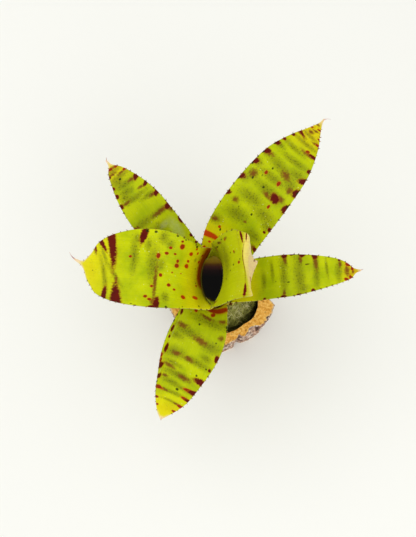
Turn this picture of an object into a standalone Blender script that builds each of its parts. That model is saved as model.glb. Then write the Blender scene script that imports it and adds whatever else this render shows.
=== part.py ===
"""A small tiger-banded neoregelia growing in a short hollow cork branch packed with moss.

Metres, +Z up. The origin is the middle of the cork tube's foot on the table, +X is to the right
and +Y away from someone who looks down on the rosette from the front. Each leaf has two parts.
Its sheath is a strip of the rosette's vase, and its blade follows a line of stations outwards.
The leaves nest like onion skins, from layer 0 inside to layer 3.5 outside. The lower and the upper
right leaf share layer 2, one on each side of the vase.
"""
import bpy
import bmesh
import numpy as np
from math import atan2, ceil, cos, degrees, pi, radians, sin
from mathutils import Vector

MM = 0.001
CLEARANCE = 0.3 * MM

# The hollow cork branch
TUBE_HEIGHT = 50 * MM
TUBE_RADIUS = 29.4 * MM
HOLE_RADIUS = 22 * MM
TUBE_SEGMENTS = 60
TUBE_LEVELS = (0, 0.2, 0.42, 0.62, 0.78, 0.89, 0.95, 1)
FOOT_FLARE = -0.8 * MM
# Each slow wave round the bark is its number of lobes, depth and phase
BARK_WAVES = ((3, 0.9 * MM, 0.4), (5, 0.7 * MM, 2.0), (9, 0.5 * MM, 1.1))
WAVE_LEAN = 0.5
FURROW_WANDER = 4
FURROW_TURNS = 3
CHIP_START = 0.8
# Each furrow is its angle, half width in degrees and depth
FURROWS = ((-66, 6, 2.2 * MM), (-8, 8, 2.2 * MM), (38, 9, 3.0 * MM), (84, 8, 2.6 * MM), (129, 9, 3.2 * MM),
           (176, 8, 2.8 * MM), (222, 9, 3.2 * MM), (262, 8, 2.4 * MM))
# Each chip is a window of broken bark at the rim, with its angle, half width in degrees and depth
CHIPS = ((-48, 16, 4.2 * MM), (62, 18, 3.2 * MM), (150, 17, 3.4 * MM), (241, 15, 2.6 * MM))

# The moss and the stem that stands in it
MOSS_EDGE_HEIGHT = 40 * MM
MOSS_TOP_HEIGHT = 46 * MM
MOSS_SHOULDER = 4.2 * MM
MOSS_LUMP = 0.5 * MM
MOSS_SEGMENTS = 40
STEM_RADIUS = 4.6 * MM
STEM_FOOT = 30 * MM
STEM_TOP = 52 * MM

# The rosette's vase, as radius and height of the innermost layer's mid-surface
AXIS_X = -4.5 * MM
AXIS_Y = -0.3 * MM
VASE_PROFILE = ((5.4, 50), (7.2, 53.6), (8.4, 60.5), (8.9, 70), (9.2, 83), (9.8, 95), (10.3, 105), (11, 115))
LAYER_PITCH = 1.3
MOUTH_SQUEEZE_X = 0.40
MOUTH_SQUEEZE_Y = 0.22
SQUEEZE_FROM = 60
SQUEEZE_TO = 102
WATER_LEVEL = 101.5 * MM
WATER_FOOT = 58 * MM
WATER_GAP = 1.15
WATER_SEGMENTS = 28
WATER_ROWS = 9

# Leaf meshes
LEAF_THICKNESS = 1.0 * MM
ROW_STEP = 5.0
COLUMNS = 12
SHEATH_STATIONS = 14
# A sheath's half width at its foot, as a share of its clasp
FOOT_SHARE = 0.66
UNROLL_BEFORE = 4
UNROLL_AFTER = 24
WIDEST_WRAP = radians(148)
TIP_ZONE = 8 * MM
TIP_POINT = 0.9 * MM
TIP_WELD = 0.7 * MM
TOOTH_LENGTH = 1.1 * MM
TOOTH_FORWARD = 0.5 * MM
TOOTH_HALF_BASE = 0.8 * MM
TEETH_FROM = 4
TEETH_TO = 6
CURL_PULL = 0.6

# Azimuth is in degrees. Leave is how far up its sheath a leaf turns outward. Channel is the blade's
# cross-section radius, clasp and mouth are the sheath's half widths at half height and top, and curl
# rolls in the left margin, or the right one where it is negative. All are in millimetres.
# Each blade station is the distance outward and to the left of the plant's axis, the height and
# the half width.
LEAVES = (
    {"name": "leaf_right", "azimuth": 5, "layer": 3.5, "leave": 28,
     "channel": 30, "clasp": 10, "mouth": 9.5, "curl": 0,
     "blade": ((23, 0.9, 82, 11.2), (33, 0.3, 89, 11.4), (42, 0, 92, 11), (51, 0.2, 93, 9.6),
               (59, 0.5, 92, 8), (65.6, 0.5, 90.3, 6.3), (71.2, 0.2, 88.2, 4), (74.6, 0.5, 86.8, 1.3),
               (78, 0.8, 85.6, 0.4))},
    {"name": "leaf_upper_left", "azimuth": 134, "layer": 3, "leave": 34,
     "channel": 30, "clasp": 17.5, "mouth": 13, "curl": 0,
     "blade": ((22, 1.5, 86, 11.6), (33, 1, 92, 11.5), (44.6, 0.3, 97, 11.4), (53.5, -0.6, 99.4, 10.9),
               (62, -1.5, 100.2, 9.3), (70.4, -2.4, 99.4, 6.8), (77.7, -3.1, 97.6, 4.1),
               (82.4, -3.7, 95.7, 1.1), (86.6, -4.3, 94, 0.4))},
    {"name": "leaf_lower", "azimuth": 251, "layer": 2, "leave": 40,
     "channel": 30, "clasp": 15, "mouth": 12.5, "curl": -3.2,
     "blade": ((17, 1.4, 95, 12.8), (24, 1.2, 98.6, 14.6), (32, 0.7, 99.6, 15.6), (40, -0.1, 98, 15),
               (48.2, -0.8, 94, 13), (60.7, -1.9, 85, 9.2), (69.8, -3.3, 77.2, 4.2), (74.4, -3.7, 73, 0.6))},
    {"name": "leaf_upper_right", "azimuth": 57, "layer": 2, "leave": 41,
     "channel": 34, "clasp": 17, "mouth": 14.5, "curl": 0,
     "blade": ((15.6, 3.2, 98, 13.8), (23, 3.5, 108, 14.2), (32.8, 2.6, 116.6, 14.6), (47, 0.6, 124.6, 14.2),
               (62, -1.4, 128.2, 12.4), (75.4, -2.9, 127.4, 7.8), (83, -3.4, 125.4, 4.2),
               (90.4, -3.8, 122.8, 1), (94.4, -3.8, 121.2, 0.4))},
    {"name": "leaf_left", "azimuth": 177, "layer": 1, "leave": 52,
     "channel": 34, "clasp": 22, "mouth": 16, "curl": 0,
     "blade": ((10.5, 2.2, 112.5, 15.2), (16.5, 2, 119, 17.4), (25.6, 1.2, 123, 19.4), (35, 1, 124, 19.2),
               (42.4, 0.6, 122.2, 17.8), (50.2, -0.3, 118, 15.4), (55.7, -1.2, 114, 12.4),
               (59.8, -1.8, 110.6, 8.4), (63, -2.8, 107.6, 4.6), (66.1, -4, 104.6, 1.4),
               (71, -6.6, 101.2, 0.4))},
    {"name": "leaf_heart", "azimuth": -2, "layer": 0, "leave": 61,
     "channel": 36, "clasp": 27, "mouth": 16.5, "curl": 0,
     "blade": ((4.8, -0.6, 117, 15.9), (7.2, -0.4, 128, 17.4), (10.2, 0, 136, 17.2), (12.9, 0.2, 139.4, 15.6),
               (14.8, 0.9, 136, 10.2), (16.4, 2.2, 129, 6.4), (18.6, 4.2, 122, 2.8), (20.4, 6.1, 118, 0.6))},
)


def smooth_step(start, end, value):
    """0 before start and 1 after end, with an even slope between them."""
    t = np.clip((np.asarray(value, float) - start) / (end - start), 0, 1)
    return t * t * (3 - 2 * t)


def smooth_line(points, steps=16):
    """Runs a Catmull-Rom curve through the points and returns it as a dense polyline."""
    given = np.array(points, float)
    padded = np.vstack([2 * given[0] - given[1], given, 2 * given[-1] - given[-2]])
    line = []
    for a, b, c, d in zip(padded, padded[1:], padded[2:], padded[3:]):
        for t in np.linspace(0, 1, steps, endpoint=False):
            line.append(0.5 * (2 * b + (c - a) * t + (2 * a - 5 * b + 4 * c - d) * t ** 2
                               + (3 * b - a - 3 * c + d) * t ** 3))
    line.append(given[-1])
    return np.array(line)


def distances(line):
    """Distance along a polyline at each of its points."""
    steps = np.linalg.norm(np.diff(line, axis=0), axis=1)
    return np.concatenate([[0], np.cumsum(steps)])


def sample(distance, along, values):
    """Reads a polyline's coordinates at the given distances along it."""
    return np.stack([np.interp(distance, along, values[:, i]) for i in range(values.shape[1])], -1)


VASE_LINE = smooth_line(VASE_PROFILE)
VASE_ALONG = distances(VASE_LINE)


def vase(t):
    """Radius, height and outward normal of the vase profile at distance t from its foot."""
    t = np.clip(t, 0, VASE_ALONG[-1])
    half_span = 0.8
    here = sample(t, VASE_ALONG, VASE_LINE)
    step = (sample(np.clip(t + half_span, 0, VASE_ALONG[-1]), VASE_ALONG, VASE_LINE)
            - sample(np.clip(t - half_span, 0, VASE_ALONG[-1]), VASE_ALONG, VASE_LINE))
    step /= np.linalg.norm(step, axis=-1, keepdims=True)
    return here[..., 0], here[..., 1], step[..., 1], -step[..., 0]


def vase_radii(t, layer):
    """Half lengths of a layer's oval along X and Y, and its height. The oval narrows to the mouth."""
    radius, height, out, up = vase(t)
    squeeze = smooth_step(SQUEEZE_FROM, SQUEEZE_TO, height)
    offset = layer * LAYER_PITCH
    return (radius * (1 - MOUTH_SQUEEZE_X * squeeze) + offset * out,
            radius * (1 + MOUTH_SQUEEZE_Y * squeeze) + offset * out, height + offset * up)


def sheath_point(t, angle, layer):
    """A point of the nested vase, in millimetres from the plant's axis."""
    x, y, height = vase_radii(t, layer)
    return np.stack([np.cos(angle) * x, np.sin(angle) * y, height + 0 * angle], -1)


class LeafShape:
    """The mid-surface of one leaf, placed by how far along and how far across it a point is."""

    def __init__(self, leaf):
        self.leaf = leaf
        self.angle = radians(leaf["azimuth"])
        self.outward = np.array([cos(self.angle), sin(self.angle), 0])
        self.leftward = np.array([-sin(self.angle), cos(self.angle), 0])
        self.sheath_t = np.linspace(0, leaf["leave"], SHEATH_STATIONS)
        rise = sheath_point(self.sheath_t, np.full(SHEATH_STATIONS, self.angle), leaf["layer"])
        self.sheath_along = distances(rise)
        widths = np.interp(self.sheath_t, (0, 0.5 * leaf["leave"], leaf["leave"]),
                           (FOOT_SHARE * leaf["clasp"], leaf["clasp"], leaf["mouth"]))
        stations = [(*point, width) for point, width in zip(rise, widths)]
        for out, side, height, half_width in leaf["blade"]:
            place = self.outward * out + self.leftward * side
            stations.append((place[0], place[1], height, half_width))
        self.line = smooth_line(stations)
        self.along = distances(self.line[:, :3])
        self.length = self.along[-1]
        self.leave = self.sheath_along[-1]

    def frame(self, distance):
        """The midline's point, its direction, the way across and the upper face's normal."""
        reach = 0.5
        middle = sample(distance, self.along, self.line[:, :3])
        ahead = (sample(np.clip(distance + reach, 0, self.length), self.along, self.line[:, :3])
                 - sample(np.clip(distance - reach, 0, self.length), self.along, self.line[:, :3]))
        ahead /= np.linalg.norm(ahead, axis=-1, keepdims=True)
        across = self.leftward - (ahead @ self.leftward)[..., None] * ahead
        across /= np.linalg.norm(across, axis=-1, keepdims=True)
        return middle, across, np.cross(ahead, across)

    def place(self, fraction, side):
        """Metres in the part's frame. Fraction runs from foot to tip, side from -1 right to 1 left.

        Every cross-section is an arc of an oval. Round the vase it is the vase's own oval, and on the
        blade it is a shallow channel that stands square to the midline.
        """
        distance = fraction * self.length
        middle, across, normal = self.frame(distance)
        half_width = np.interp(distance, self.along, self.line[:, 3])
        channel = self.leaf["channel"]
        open_out = smooth_step(self.leave - UNROLL_BEFORE, self.leave + UNROLL_AFTER, distance)
        t = np.interp(distance, np.append(self.sheath_along, self.leave + 100),
                      np.append(self.sheath_t, self.leaf["leave"] + 100))
        x_radius, y_radius, _ = vase_radii(t, self.leaf["layer"])
        flat = np.zeros_like(x_radius)
        vase_out = np.stack([x_radius * cos(self.angle), y_radius * sin(self.angle), flat], -1)
        vase_round = np.stack([-x_radius * sin(self.angle), y_radius * cos(self.angle), flat], -1)
        mix = open_out[..., None]
        arc_out = (1 - mix) * vase_out - mix * channel * normal
        arc_round = (1 - mix) * vase_round + mix * channel * across
        radius = (1 - open_out) * np.sqrt(x_radius * y_radius) + open_out * channel
        turn = side * np.minimum(half_width / radius, WIDEST_WRAP)
        offset = arc_round * np.sin(turn)[..., None] - arc_out * (1 - np.cos(turn))[..., None]
        offset = offset + self.rolled_margin(distance, side, across, normal)
        return (middle + offset) * MM + np.array([AXIS_X, AXIS_Y, 0])

    def rolled_margin(self, distance, side, across, normal):
        """Rolls one margin up and in along the middle of the blade: the left for a positive curl."""
        curl = self.leaf["curl"]
        hand = 1 if curl > 0 else -1
        blade = (distance - self.leave) / (self.length - self.leave)
        zone = smooth_step(0, 0.3, blade) * (1 - smooth_step(0.55, 0.95, blade))
        roll = abs(curl) * zone * np.clip((side * hand - 0.5) / 0.5, 0, 1) ** 2
        return normal * roll[..., None] - across * (hand * CURL_PULL * roll)[..., None]


def clear_scene():
    for obj in list(bpy.data.objects):
        bpy.data.objects.remove(obj, do_unlink=True)


def make_collection(name):
    collection = bpy.data.collections.new(name)
    bpy.context.scene.collection.children.link(collection)
    return collection


def make_material(name, colour, roughness):
    material = bpy.data.materials.new(name)
    material.use_nodes = True
    shader = material.node_tree.nodes["Principled BSDF"]
    shader.inputs["Base Color"].default_value = (*colour, 1)
    shader.inputs["Roughness"].default_value = roughness
    shader.inputs["Metallic"].default_value = 0
    material.diffuse_color = (*colour, 1)
    return material


def make_object(name, bm, material, collection, smooth=True):
    """Turns a bmesh into a named object with its faces pointing out."""
    bmesh.ops.recalc_face_normals(bm, faces=bm.faces[:])
    mesh = bpy.data.meshes.new(name)
    bm.to_mesh(mesh)
    bm.free()
    mesh.materials.append(material)
    if smooth:
        mesh.shade_smooth()
        mesh.set_sharp_from_angle(angle=radians(40))
    obj = bpy.data.objects.new(name, mesh)
    collection.objects.link(obj)
    return obj


def window(angle, centre, half_width):
    """1 at the centre of an angular window, falling evenly to 0 at its ends. All in degrees."""
    away = abs((angle - centre + 180) % 360 - 180)
    return float(1 - smooth_step(0, half_width, away))


def bark_radius(angle, level):
    """The cork's outer radius at an angle and at a level from 0 at the foot to 1 at the cut rim."""
    radius = TUBE_RADIUS + FOOT_FLARE * (1 - level)
    for lobes, depth, phase in BARK_WAVES:
        radius += depth * cos(lobes * angle + phase + WAVE_LEAN * level)
    degrees_round = degrees(angle)
    for centre, half_width, depth in FURROWS:
        wander = FURROW_WANDER * sin(FURROW_TURNS * level + centre)
        radius -= depth * window(degrees_round, centre + wander, half_width)
    broken = smooth_step(CHIP_START, 1, level)
    for centre, half_width, depth in CHIPS:
        radius -= depth * broken * window(degrees_round, centre, half_width)
    return radius


def tower(segments, levels):
    """A closed unit cylinder whose side is cut at each level between 0 and 1."""
    bm = bmesh.new()
    bmesh.ops.create_cone(bm, cap_ends=True, segments=segments, radius1=1, radius2=1, depth=1)
    uprights = [edge for edge in bm.edges if abs(edge.verts[0].co.z - edge.verts[1].co.z) > 0.5]
    bmesh.ops.subdivide_edges(bm, edges=uprights, cuts=len(levels) - 2, use_grid_fill=True)
    steps = len(levels) - 1
    for vert in bm.verts:
        vert.co.z = levels[round((vert.co.z + 0.5) * steps)]
    return bm


def make_cork_tube(collection, cutters):
    """The branch is a furrowed log with a round hole bored right through."""
    bm = tower(TUBE_SEGMENTS, TUBE_LEVELS)
    for vert in bm.verts:
        angle = atan2(vert.co.y, vert.co.x)
        level = vert.co.z
        radius = bark_radius(angle, level)
        vert.co = Vector((radius * cos(angle), radius * sin(angle), level * TUBE_HEIGHT))
    bmesh.ops.triangulate(bm, faces=[face for face in bm.faces if len(face.verts) == 4])
    cork = make_material("cork", (0.62, 0.36, 0.12), 0.85)
    tube = make_object("cork_tube", bm, cork, collection)
    bore = bmesh.new()
    bmesh.ops.create_cone(bore, cap_ends=True, segments=MOSS_SEGMENTS, radius1=HOLE_RADIUS, radius2=HOLE_RADIUS,
                          depth=TUBE_HEIGHT * 1.5)
    bmesh.ops.translate(bore, verts=bore.verts[:], vec=(0, 0, TUBE_HEIGHT / 2))
    cutter = make_object("bore_cutter", bore, cork, cutters, smooth=False)
    cutter.hide_render = True
    cutter.display_type = "WIRE"
    cut = tube.modifiers.new("bore", "BOOLEAN")
    cut.operation = "DIFFERENCE"
    cut.solver = "EXACT"
    cut.object = cutter
    return tube


def spin_profile(profile, segments):
    """Turns an outline of radius and height pairs once round the Z axis into a closed body."""
    bm = bmesh.new()
    line = [bm.verts.new((radius, 0, height)) for radius, height in profile]
    edges = [bm.edges.new(pair) for pair in zip(line, line[1:])]
    bmesh.ops.spin(bm, geom=line + edges, cent=(0, 0, 0), axis=(0, 0, 1), angle=2 * pi, steps=segments,
                   use_merge=True)
    bmesh.ops.remove_doubles(bm, verts=bm.verts[:], dist=0.01 * MM)
    return bm


def make_moss(collection):
    """Moss fills the tube to its foot and rises in a lumpy mound, with a plain hole for the stem."""
    edge = HOLE_RADIUS - CLEARANCE
    socket = STEM_RADIUS + CLEARANCE
    floor = STEM_FOOT - CLEARANCE
    profile = ((0, 0), (edge, 0), (edge, 0.5 * MOSS_EDGE_HEIGHT), (edge, MOSS_EDGE_HEIGHT),
               (0.9 * edge, MOSS_EDGE_HEIGHT + 0.5 * MOSS_SHOULDER), (0.76 * edge, MOSS_EDGE_HEIGHT + MOSS_SHOULDER),
               (0.6 * edge, 0.99 * MOSS_TOP_HEIGHT), (0.44 * edge, MOSS_TOP_HEIGHT),
               (socket, MOSS_TOP_HEIGHT), (socket, floor), (0, floor))
    bm = spin_profile(profile, MOSS_SEGMENTS)
    for vert in bm.verts:
        radius = vert.co.xy.length
        angle = atan2(vert.co.y, vert.co.x)
        if vert.co.z > MOSS_EDGE_HEIGHT + 1 * MM and radius > 1.2 * socket:
            lump = sin(5 * angle + 900 * radius) + 0.7 * sin(11 * angle - 600 * radius)
            vert.co.z += MOSS_LUMP * (lump - 1.7)
        if vert.co.z > 0.99 * floor:
            lean = float(smooth_step(0.98 * edge, socket, radius))
            vert.co.x += AXIS_X * lean
            vert.co.y += AXIS_Y * lean
    bmesh.ops.triangulate(bm, faces=bm.faces[:])
    return make_object("moss_plug", bm, make_material("moss", (0.17, 0.19, 0.07), 0.95), collection)


def make_stem(collection):
    """The short caudex that carries every leaf, as a turned profile that runs down its outer side."""
    bm = bmesh.new()
    profile = ((0, STEM_TOP), (0.55 * STEM_RADIUS, STEM_TOP - 0.3 * MM), (0.9 * STEM_RADIUS, STEM_TOP - 1.4 * MM),
               (STEM_RADIUS, STEM_TOP - 3 * MM), (STEM_RADIUS, STEM_FOOT + 1 * MM),
               (0.85 * STEM_RADIUS, STEM_FOOT), (0, STEM_FOOT))
    line = [bm.verts.new((radius, 0, height)) for radius, height in profile]
    for pair in zip(line, line[1:]):
        bm.edges.new(pair)
    mesh = bpy.data.meshes.new("stem")
    bm.to_mesh(mesh)
    bm.free()
    mesh.materials.append(make_material("stem tissue", (0.35, 0.30, 0.12), 0.6))
    stem = bpy.data.objects.new("stem", mesh)
    stem.location = (AXIS_X, AXIS_Y, 0)
    collection.objects.link(stem)
    turn = stem.modifiers.new("turn", "SCREW")
    turn.axis = "Z"
    turn.angle = 2 * pi
    turn.steps = 24
    turn.render_steps = 24
    turn.use_merge_vertices = True
    turn.merge_threshold = 0.00001
    return stem


def make_water(collection):
    """Rain water stands in the rosette's cup, just clear of the innermost sheath all round."""
    water_layer = -WATER_GAP / LAYER_PITCH
    heights = VASE_LINE[:, 1] * MM
    start = np.interp(WATER_FOOT, heights, VASE_ALONG)
    end = np.interp(WATER_LEVEL, heights, VASE_ALONG)
    bm = tower(WATER_SEGMENTS, np.linspace(0, 1, WATER_ROWS + 1))
    for vert in bm.verts:
        angle = atan2(vert.co.y, vert.co.x)
        t = start + (end - start) * vert.co.z
        place = sheath_point(np.array(t), np.array(angle), water_layer) * MM
        vert.co = Vector((place[0] + AXIS_X, place[1] + AXIS_Y, place[2]))
    top = max(vert.co.z for vert in bm.verts)
    foot = min(vert.co.z for vert in bm.verts)
    for vert in bm.verts:
        if vert.co.z > top - 0.5 * MM:
            vert.co.z = top
        if vert.co.z < foot + 0.5 * MM:
            vert.co.z = foot
    bmesh.ops.triangulate(bm, faces=[face for face in bm.faces if len(face.verts) == 4])
    return make_object("cup_water", bm, make_material("water", (0.02, 0.02, 0.01), 0.05), collection)


def split_edge(tail, head, place):
    """Puts a new vertex into the edge between two vertices and moves it to its place."""
    edge = next(edge for edge in tail.link_edges if edge.other_vert(tail) == head)
    _, vert = bmesh.utils.edge_split(edge, tail, 0.5)
    vert.co = place
    return vert


def cut_teeth(bm, shape, along, across):
    """Each margin edge of the blade gets a foot, a point and a foot, the point drawn out to a small tooth."""
    margin = []
    for edge in bm.edges:
        first, last = (vert.index for vert in edge.verts)
        on_margin = edge.is_boundary and abs(across[first]) > 0.99 and across[first] == across[last]
        distance = 0.5 * (along[first] + along[last]) * shape.length
        if on_margin and shape.leave - TEETH_FROM < distance < shape.length - TEETH_TO:
            tail, head = sorted(edge.verts, key=lambda vert: along[vert.index])
            margin.append((tail, head, across[first], distance))
    for tail, head, side, distance in margin:
        forward = (head.co - tail.co).normalized()
        middle = (head.co + tail.co) / 2
        _, way_across, _ = shape.frame(np.array(distance))
        out = Vector(way_across) * float(side)
        out = (out - out.dot(forward) * forward).normalized()
        foot = split_edge(tail, head, middle - forward * TOOTH_HALF_BASE)
        point = split_edge(foot, head, middle + out * TOOTH_LENGTH + forward * TOOTH_FORWARD)
        split_edge(point, head, middle + forward * TOOTH_HALF_BASE)


def make_leaf(leaf, material, collection):
    """A grid is laid on the leaf's mid-surface, given teeth along its margins and thickened."""
    shape = LeafShape(leaf)
    rows = ceil(shape.length / ROW_STEP)
    bm = bmesh.new()
    bmesh.ops.create_grid(bm, x_segments=rows, y_segments=COLUMNS, size=1)
    along = np.array([(vert.co.x + 1) / 2 for vert in bm.verts])
    across = np.array([vert.co.y for vert in bm.verts])
    for vert, place in zip(bm.verts, shape.place(along, across)):
        vert.co = Vector(place)
    bmesh.ops.triangulate(bm, faces=bm.faces[:])
    cut_teeth(bm, shape, along, across)
    tip = Vector(shape.place(np.array([1.0]), np.array([0.0]))[0])
    point = [vert for vert in bm.verts if (vert.co - tip).length < TIP_POINT]
    bmesh.ops.pointmerge(bm, verts=point, merge_co=tip)
    end = [vert for vert in bm.verts if (vert.co - tip).length < TIP_ZONE]
    bmesh.ops.remove_doubles(bm, verts=end, dist=TIP_WELD)
    bmesh.ops.triangulate(bm, faces=[face for face in bm.faces if len(face.verts) > 3])
    obj = make_object(leaf["name"], bm, material, collection)
    flesh = obj.modifiers.new("flesh", "SOLIDIFY")
    flesh.thickness = LEAF_THICKNESS
    flesh.offset = 0
    return obj


def main():
    clear_scene()
    plant = make_collection("neoregelia_in_cork")
    cutters = make_collection("cutters")
    make_cork_tube(plant, cutters)
    make_moss(plant)
    make_stem(plant)
    leaf_material = make_material("banded leaf", (0.42, 0.46, 0.02), 0.35)
    for leaf in LEAVES:
        make_leaf(leaf, leaf_material, plant)
    make_water(plant)


main()
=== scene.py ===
# %% [markdown]
# # A tiger-banded neoregelia in a hollow cork branch
# This lesson dresses a finished construction model. The model already has every piece at its real
# size: the cork tube, the moss, the stem, six leaves and the water in the cup. Here each piece gets
# a finer mesh in the same place and a material that follows what the real thing is made of.

# %% Load the construction model
import bmesh
import bpy
import numpy as np
import random
from math import atan2, cos, degrees, pi, radians, sin
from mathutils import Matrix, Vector, noise


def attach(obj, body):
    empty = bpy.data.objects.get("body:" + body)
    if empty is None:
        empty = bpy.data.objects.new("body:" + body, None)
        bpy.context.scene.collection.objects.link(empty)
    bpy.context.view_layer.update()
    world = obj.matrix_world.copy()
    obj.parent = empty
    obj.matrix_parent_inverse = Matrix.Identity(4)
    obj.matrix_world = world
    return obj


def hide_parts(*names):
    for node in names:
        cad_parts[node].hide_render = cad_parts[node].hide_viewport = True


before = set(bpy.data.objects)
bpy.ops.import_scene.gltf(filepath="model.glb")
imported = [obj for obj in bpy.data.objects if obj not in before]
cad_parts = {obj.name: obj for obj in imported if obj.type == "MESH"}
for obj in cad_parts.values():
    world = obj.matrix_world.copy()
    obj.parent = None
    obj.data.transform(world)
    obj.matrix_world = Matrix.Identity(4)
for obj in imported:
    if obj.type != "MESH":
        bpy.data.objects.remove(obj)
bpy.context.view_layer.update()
MM = 0.001
print("nodes:", sorted(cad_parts))


# %% [markdown]
# ## Small tools
# Colours are picked as sRGB hex values, because that is what a screen and a colour picker show, and
# a shader wants linear light, so one function turns one into the other. A node graph is easier to
# read when each line adds one node, so one small function adds a node of any kind with its settings
# and links. Blender's pattern scales are one over the size of a cell in metres, which is hard to
# picture, so the sizes are written in millimetres and turned by a third function.

# %% Colours, nodes and pattern sizes
def linear(hex_colour):
    """An sRGB hex colour as linear RGBA."""
    channels = [int(hex_colour[i:i + 2], 16) / 255 for i in (1, 3, 5)]
    return (*[c / 12.92 if c <= 0.04045 else ((c + 0.055) / 1.055) ** 2.4 for c in channels], 1)


def link(tree, node, **links):
    """Sets a node's inputs, named by their words or by _ and their number.

    Each is given a value, a socket, or a node, which stands for its first output in use."""
    for name, value in links.items():
        key = int(name[1:]) if name[0] == "_" and name[1:].isdigit() else name.replace("_", " ")
        if isinstance(value, bpy.types.Node):
            value = next(output for output in value.outputs if output.enabled)
        if isinstance(value, bpy.types.NodeSocket):
            tree.links.new(value, node.inputs[key])
        else:
            node.inputs[key].default_value = linear(value) if isinstance(value, str) else value


def add(tree, kind, settings=None, **links):
    """Adds one node. Settings are its properties, or a colour ramp's stops and ease."""
    node = tree.nodes.new("ShaderNode" + kind)
    for name, value in (settings or {}).items():
        if name == "stops":
            lay_stops(node.color_ramp.elements, value)
        elif name == "ease":
            node.color_ramp.interpolation = value
        else:
            setattr(node, name, value)
    link(tree, node, **links)
    return node


def lay_stops(elements, stops):
    """Fills a colour ramp with stops: a position and a hex colour or grey value each."""
    while len(elements) < len(stops):
        elements.new(0.5)
    for element, (position, colour) in zip(elements, stops):
        element.position = position
        element.color = linear(colour) if isinstance(colour, str) else (colour, colour, colour, 1)


def cells(size):
    """The scale at which a pattern's cells measure this many millimetres."""
    return 1 / (size * MM)


def new_material(name, display):
    """An empty material with its Principled shader, and the colour that a plain viewport shows."""
    material = bpy.data.materials.new(name)
    material.use_nodes = True
    material.diffuse_color = linear(display)
    return material, material.node_tree, material.node_tree.nodes["Principled BSDF"]


# Settings that many nodes share
MIX = {"data_type": "RGBA"}
TINT = {"data_type": "RGBA", "blend_type": "MULTIPLY"}
TIMES = {"operation": "MULTIPLY"}
PLUS = {"operation": "ADD"}
MINUS = {"operation": "SUBTRACT"}
NEAREST = {"feature": "F1"}

print("red leather in linear light:", [round(c, 3) for c in linear("#8a2010")])


# %% [markdown]
# A bmesh becomes an object through one function, so that every piece ends in the same way: faces
# turned outwards, shaded smooth, placed at the origin with its place in its mesh, riding on the
# one body of this plant.

# %% Finish a piece
def finish_piece(name, bm, material, nodes=(), recalc=True, sharp=None):
    """Makes an object of a bmesh, and hides the construction nodes that it stands for."""
    if recalc:
        bmesh.ops.recalc_face_normals(bm, faces=bm.faces[:])
    mesh = bpy.data.meshes.new(name)
    bm.to_mesh(mesh)
    bm.free()
    materials = material if isinstance(material, (list, tuple)) else [material]
    for each in materials:
        mesh.materials.append(each)
    mesh.shade_smooth()
    if sharp:
        mesh.set_sharp_from_angle(angle=radians(sharp))
    piece = bpy.data.objects.new(name, mesh)
    bpy.context.scene.collection.objects.link(piece)
    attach(piece, "root")
    if nodes:
        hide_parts(*nodes)
    print(name, "has", len(mesh.polygons), "faces")
    return piece


def pour(bm, part):
    """Adds a small bmesh to a big one, so that each operator only ever walks over the small one."""
    mesh = bpy.data.meshes.new("part")
    part.to_mesh(mesh)
    part.free()
    bm.from_mesh(mesh)
    bpy.data.meshes.remove(mesh)


def smooth_step(start, end, value):
    """0 before start and 1 after end, with an even slope between them."""
    t = np.clip((np.asarray(value, float) - start) / (end - start), 0, 1)
    return t * t * (3 - 2 * t)


print("a smooth step from 0 to 1 is at", float(smooth_step(0, 1, 0.25)), "after a quarter of the way")


# %% [markdown]
# ## Camera
# The photograph looks down on the rosette from 455 mm above the table, a little to the front, with
# the camera tilted 11 degrees from straight down. The lens follows from the focal length in pixels
# and the frame's 537 pixel height on a 36 mm sensor.

# %% Camera
CAMERA_PLACE = (-7.5 * MM, -63.6 * MM, 455 * MM)
CAMERA_TILT = radians(11)
FOCAL_PIXELS = 714
FRAME_HEIGHT_PIXELS = 537
SENSOR = 36

camera_data = bpy.data.cameras.new("camera")
camera_data.sensor_width = SENSOR
camera_data.lens = SENSOR * FOCAL_PIXELS / FRAME_HEIGHT_PIXELS
camera_data.clip_start = 0.01
camera = bpy.data.objects.new("camera", camera_data)
camera.location = CAMERA_PLACE
camera.rotation_euler = (CAMERA_TILT, 0, 0)
bpy.context.scene.collection.objects.link(camera)
bpy.context.scene.camera = camera
print("lens", round(camera_data.lens, 1), "mm")


# %% [markdown]
# ## Light and floor
# A plant on a white table under broad studio lights has almost no hard shadow. A pale world gives
# the even fill. Two softboxes, one behind to the left and one in front, give the leaves their
# faint sheen, and the floor is a matt off-white sheet. The standard view transform keeps the acid
# greens as picked.

# %% Light and floor
WORLD_LIGHT = 0.92
PLANT_MIDDLE = Vector((0, 0, 80 * MM))
bpy.context.scene.view_settings.view_transform = "Standard"
world = bpy.data.worlds.new("studio")
world.use_nodes = True
link(world.node_tree, world.node_tree.nodes["Background"], Color="#fdfdfa", Strength=WORLD_LIGHT)
bpy.context.scene.world = world


def softbox(name, place, size, power):
    """A square area light that faces the plant. Its place and size are in metres, its power in watts."""
    data = bpy.data.lights.new(name, "AREA")
    data.size = size
    data.energy = power
    lamp = bpy.data.objects.new(name, data)
    lamp.location = place
    lamp.rotation_euler = (PLANT_MIDDLE - Vector(place)).to_track_quat("-Z", "Y").to_euler()
    bpy.context.scene.collection.objects.link(lamp)


softbox("key softbox", (-0.35, 0.25, 0.8), 0.6, 1.15)
softbox("front softbox", (0.25, -0.5, 0.65), 0.5, 1.1)

FLOOR_HALF = 3.0
bm = bmesh.new()
bmesh.ops.create_grid(bm, x_segments=1, y_segments=1, size=FLOOR_HALF)
floor_mesh = bpy.data.meshes.new("floor")
bm.to_mesh(floor_mesh)
bm.free()
floor_material, tree, shader = new_material("matt white paper", "#f1f1ed")
link(tree, shader, Base_Color="#f1f1ed", Roughness=0.9)
floor_mesh.materials.append(floor_material)
floor = bpy.data.objects.new("floor", floor_mesh)
bpy.context.scene.collection.objects.link(floor)
print("lamps:", [light.name for light in bpy.data.lights])


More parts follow.
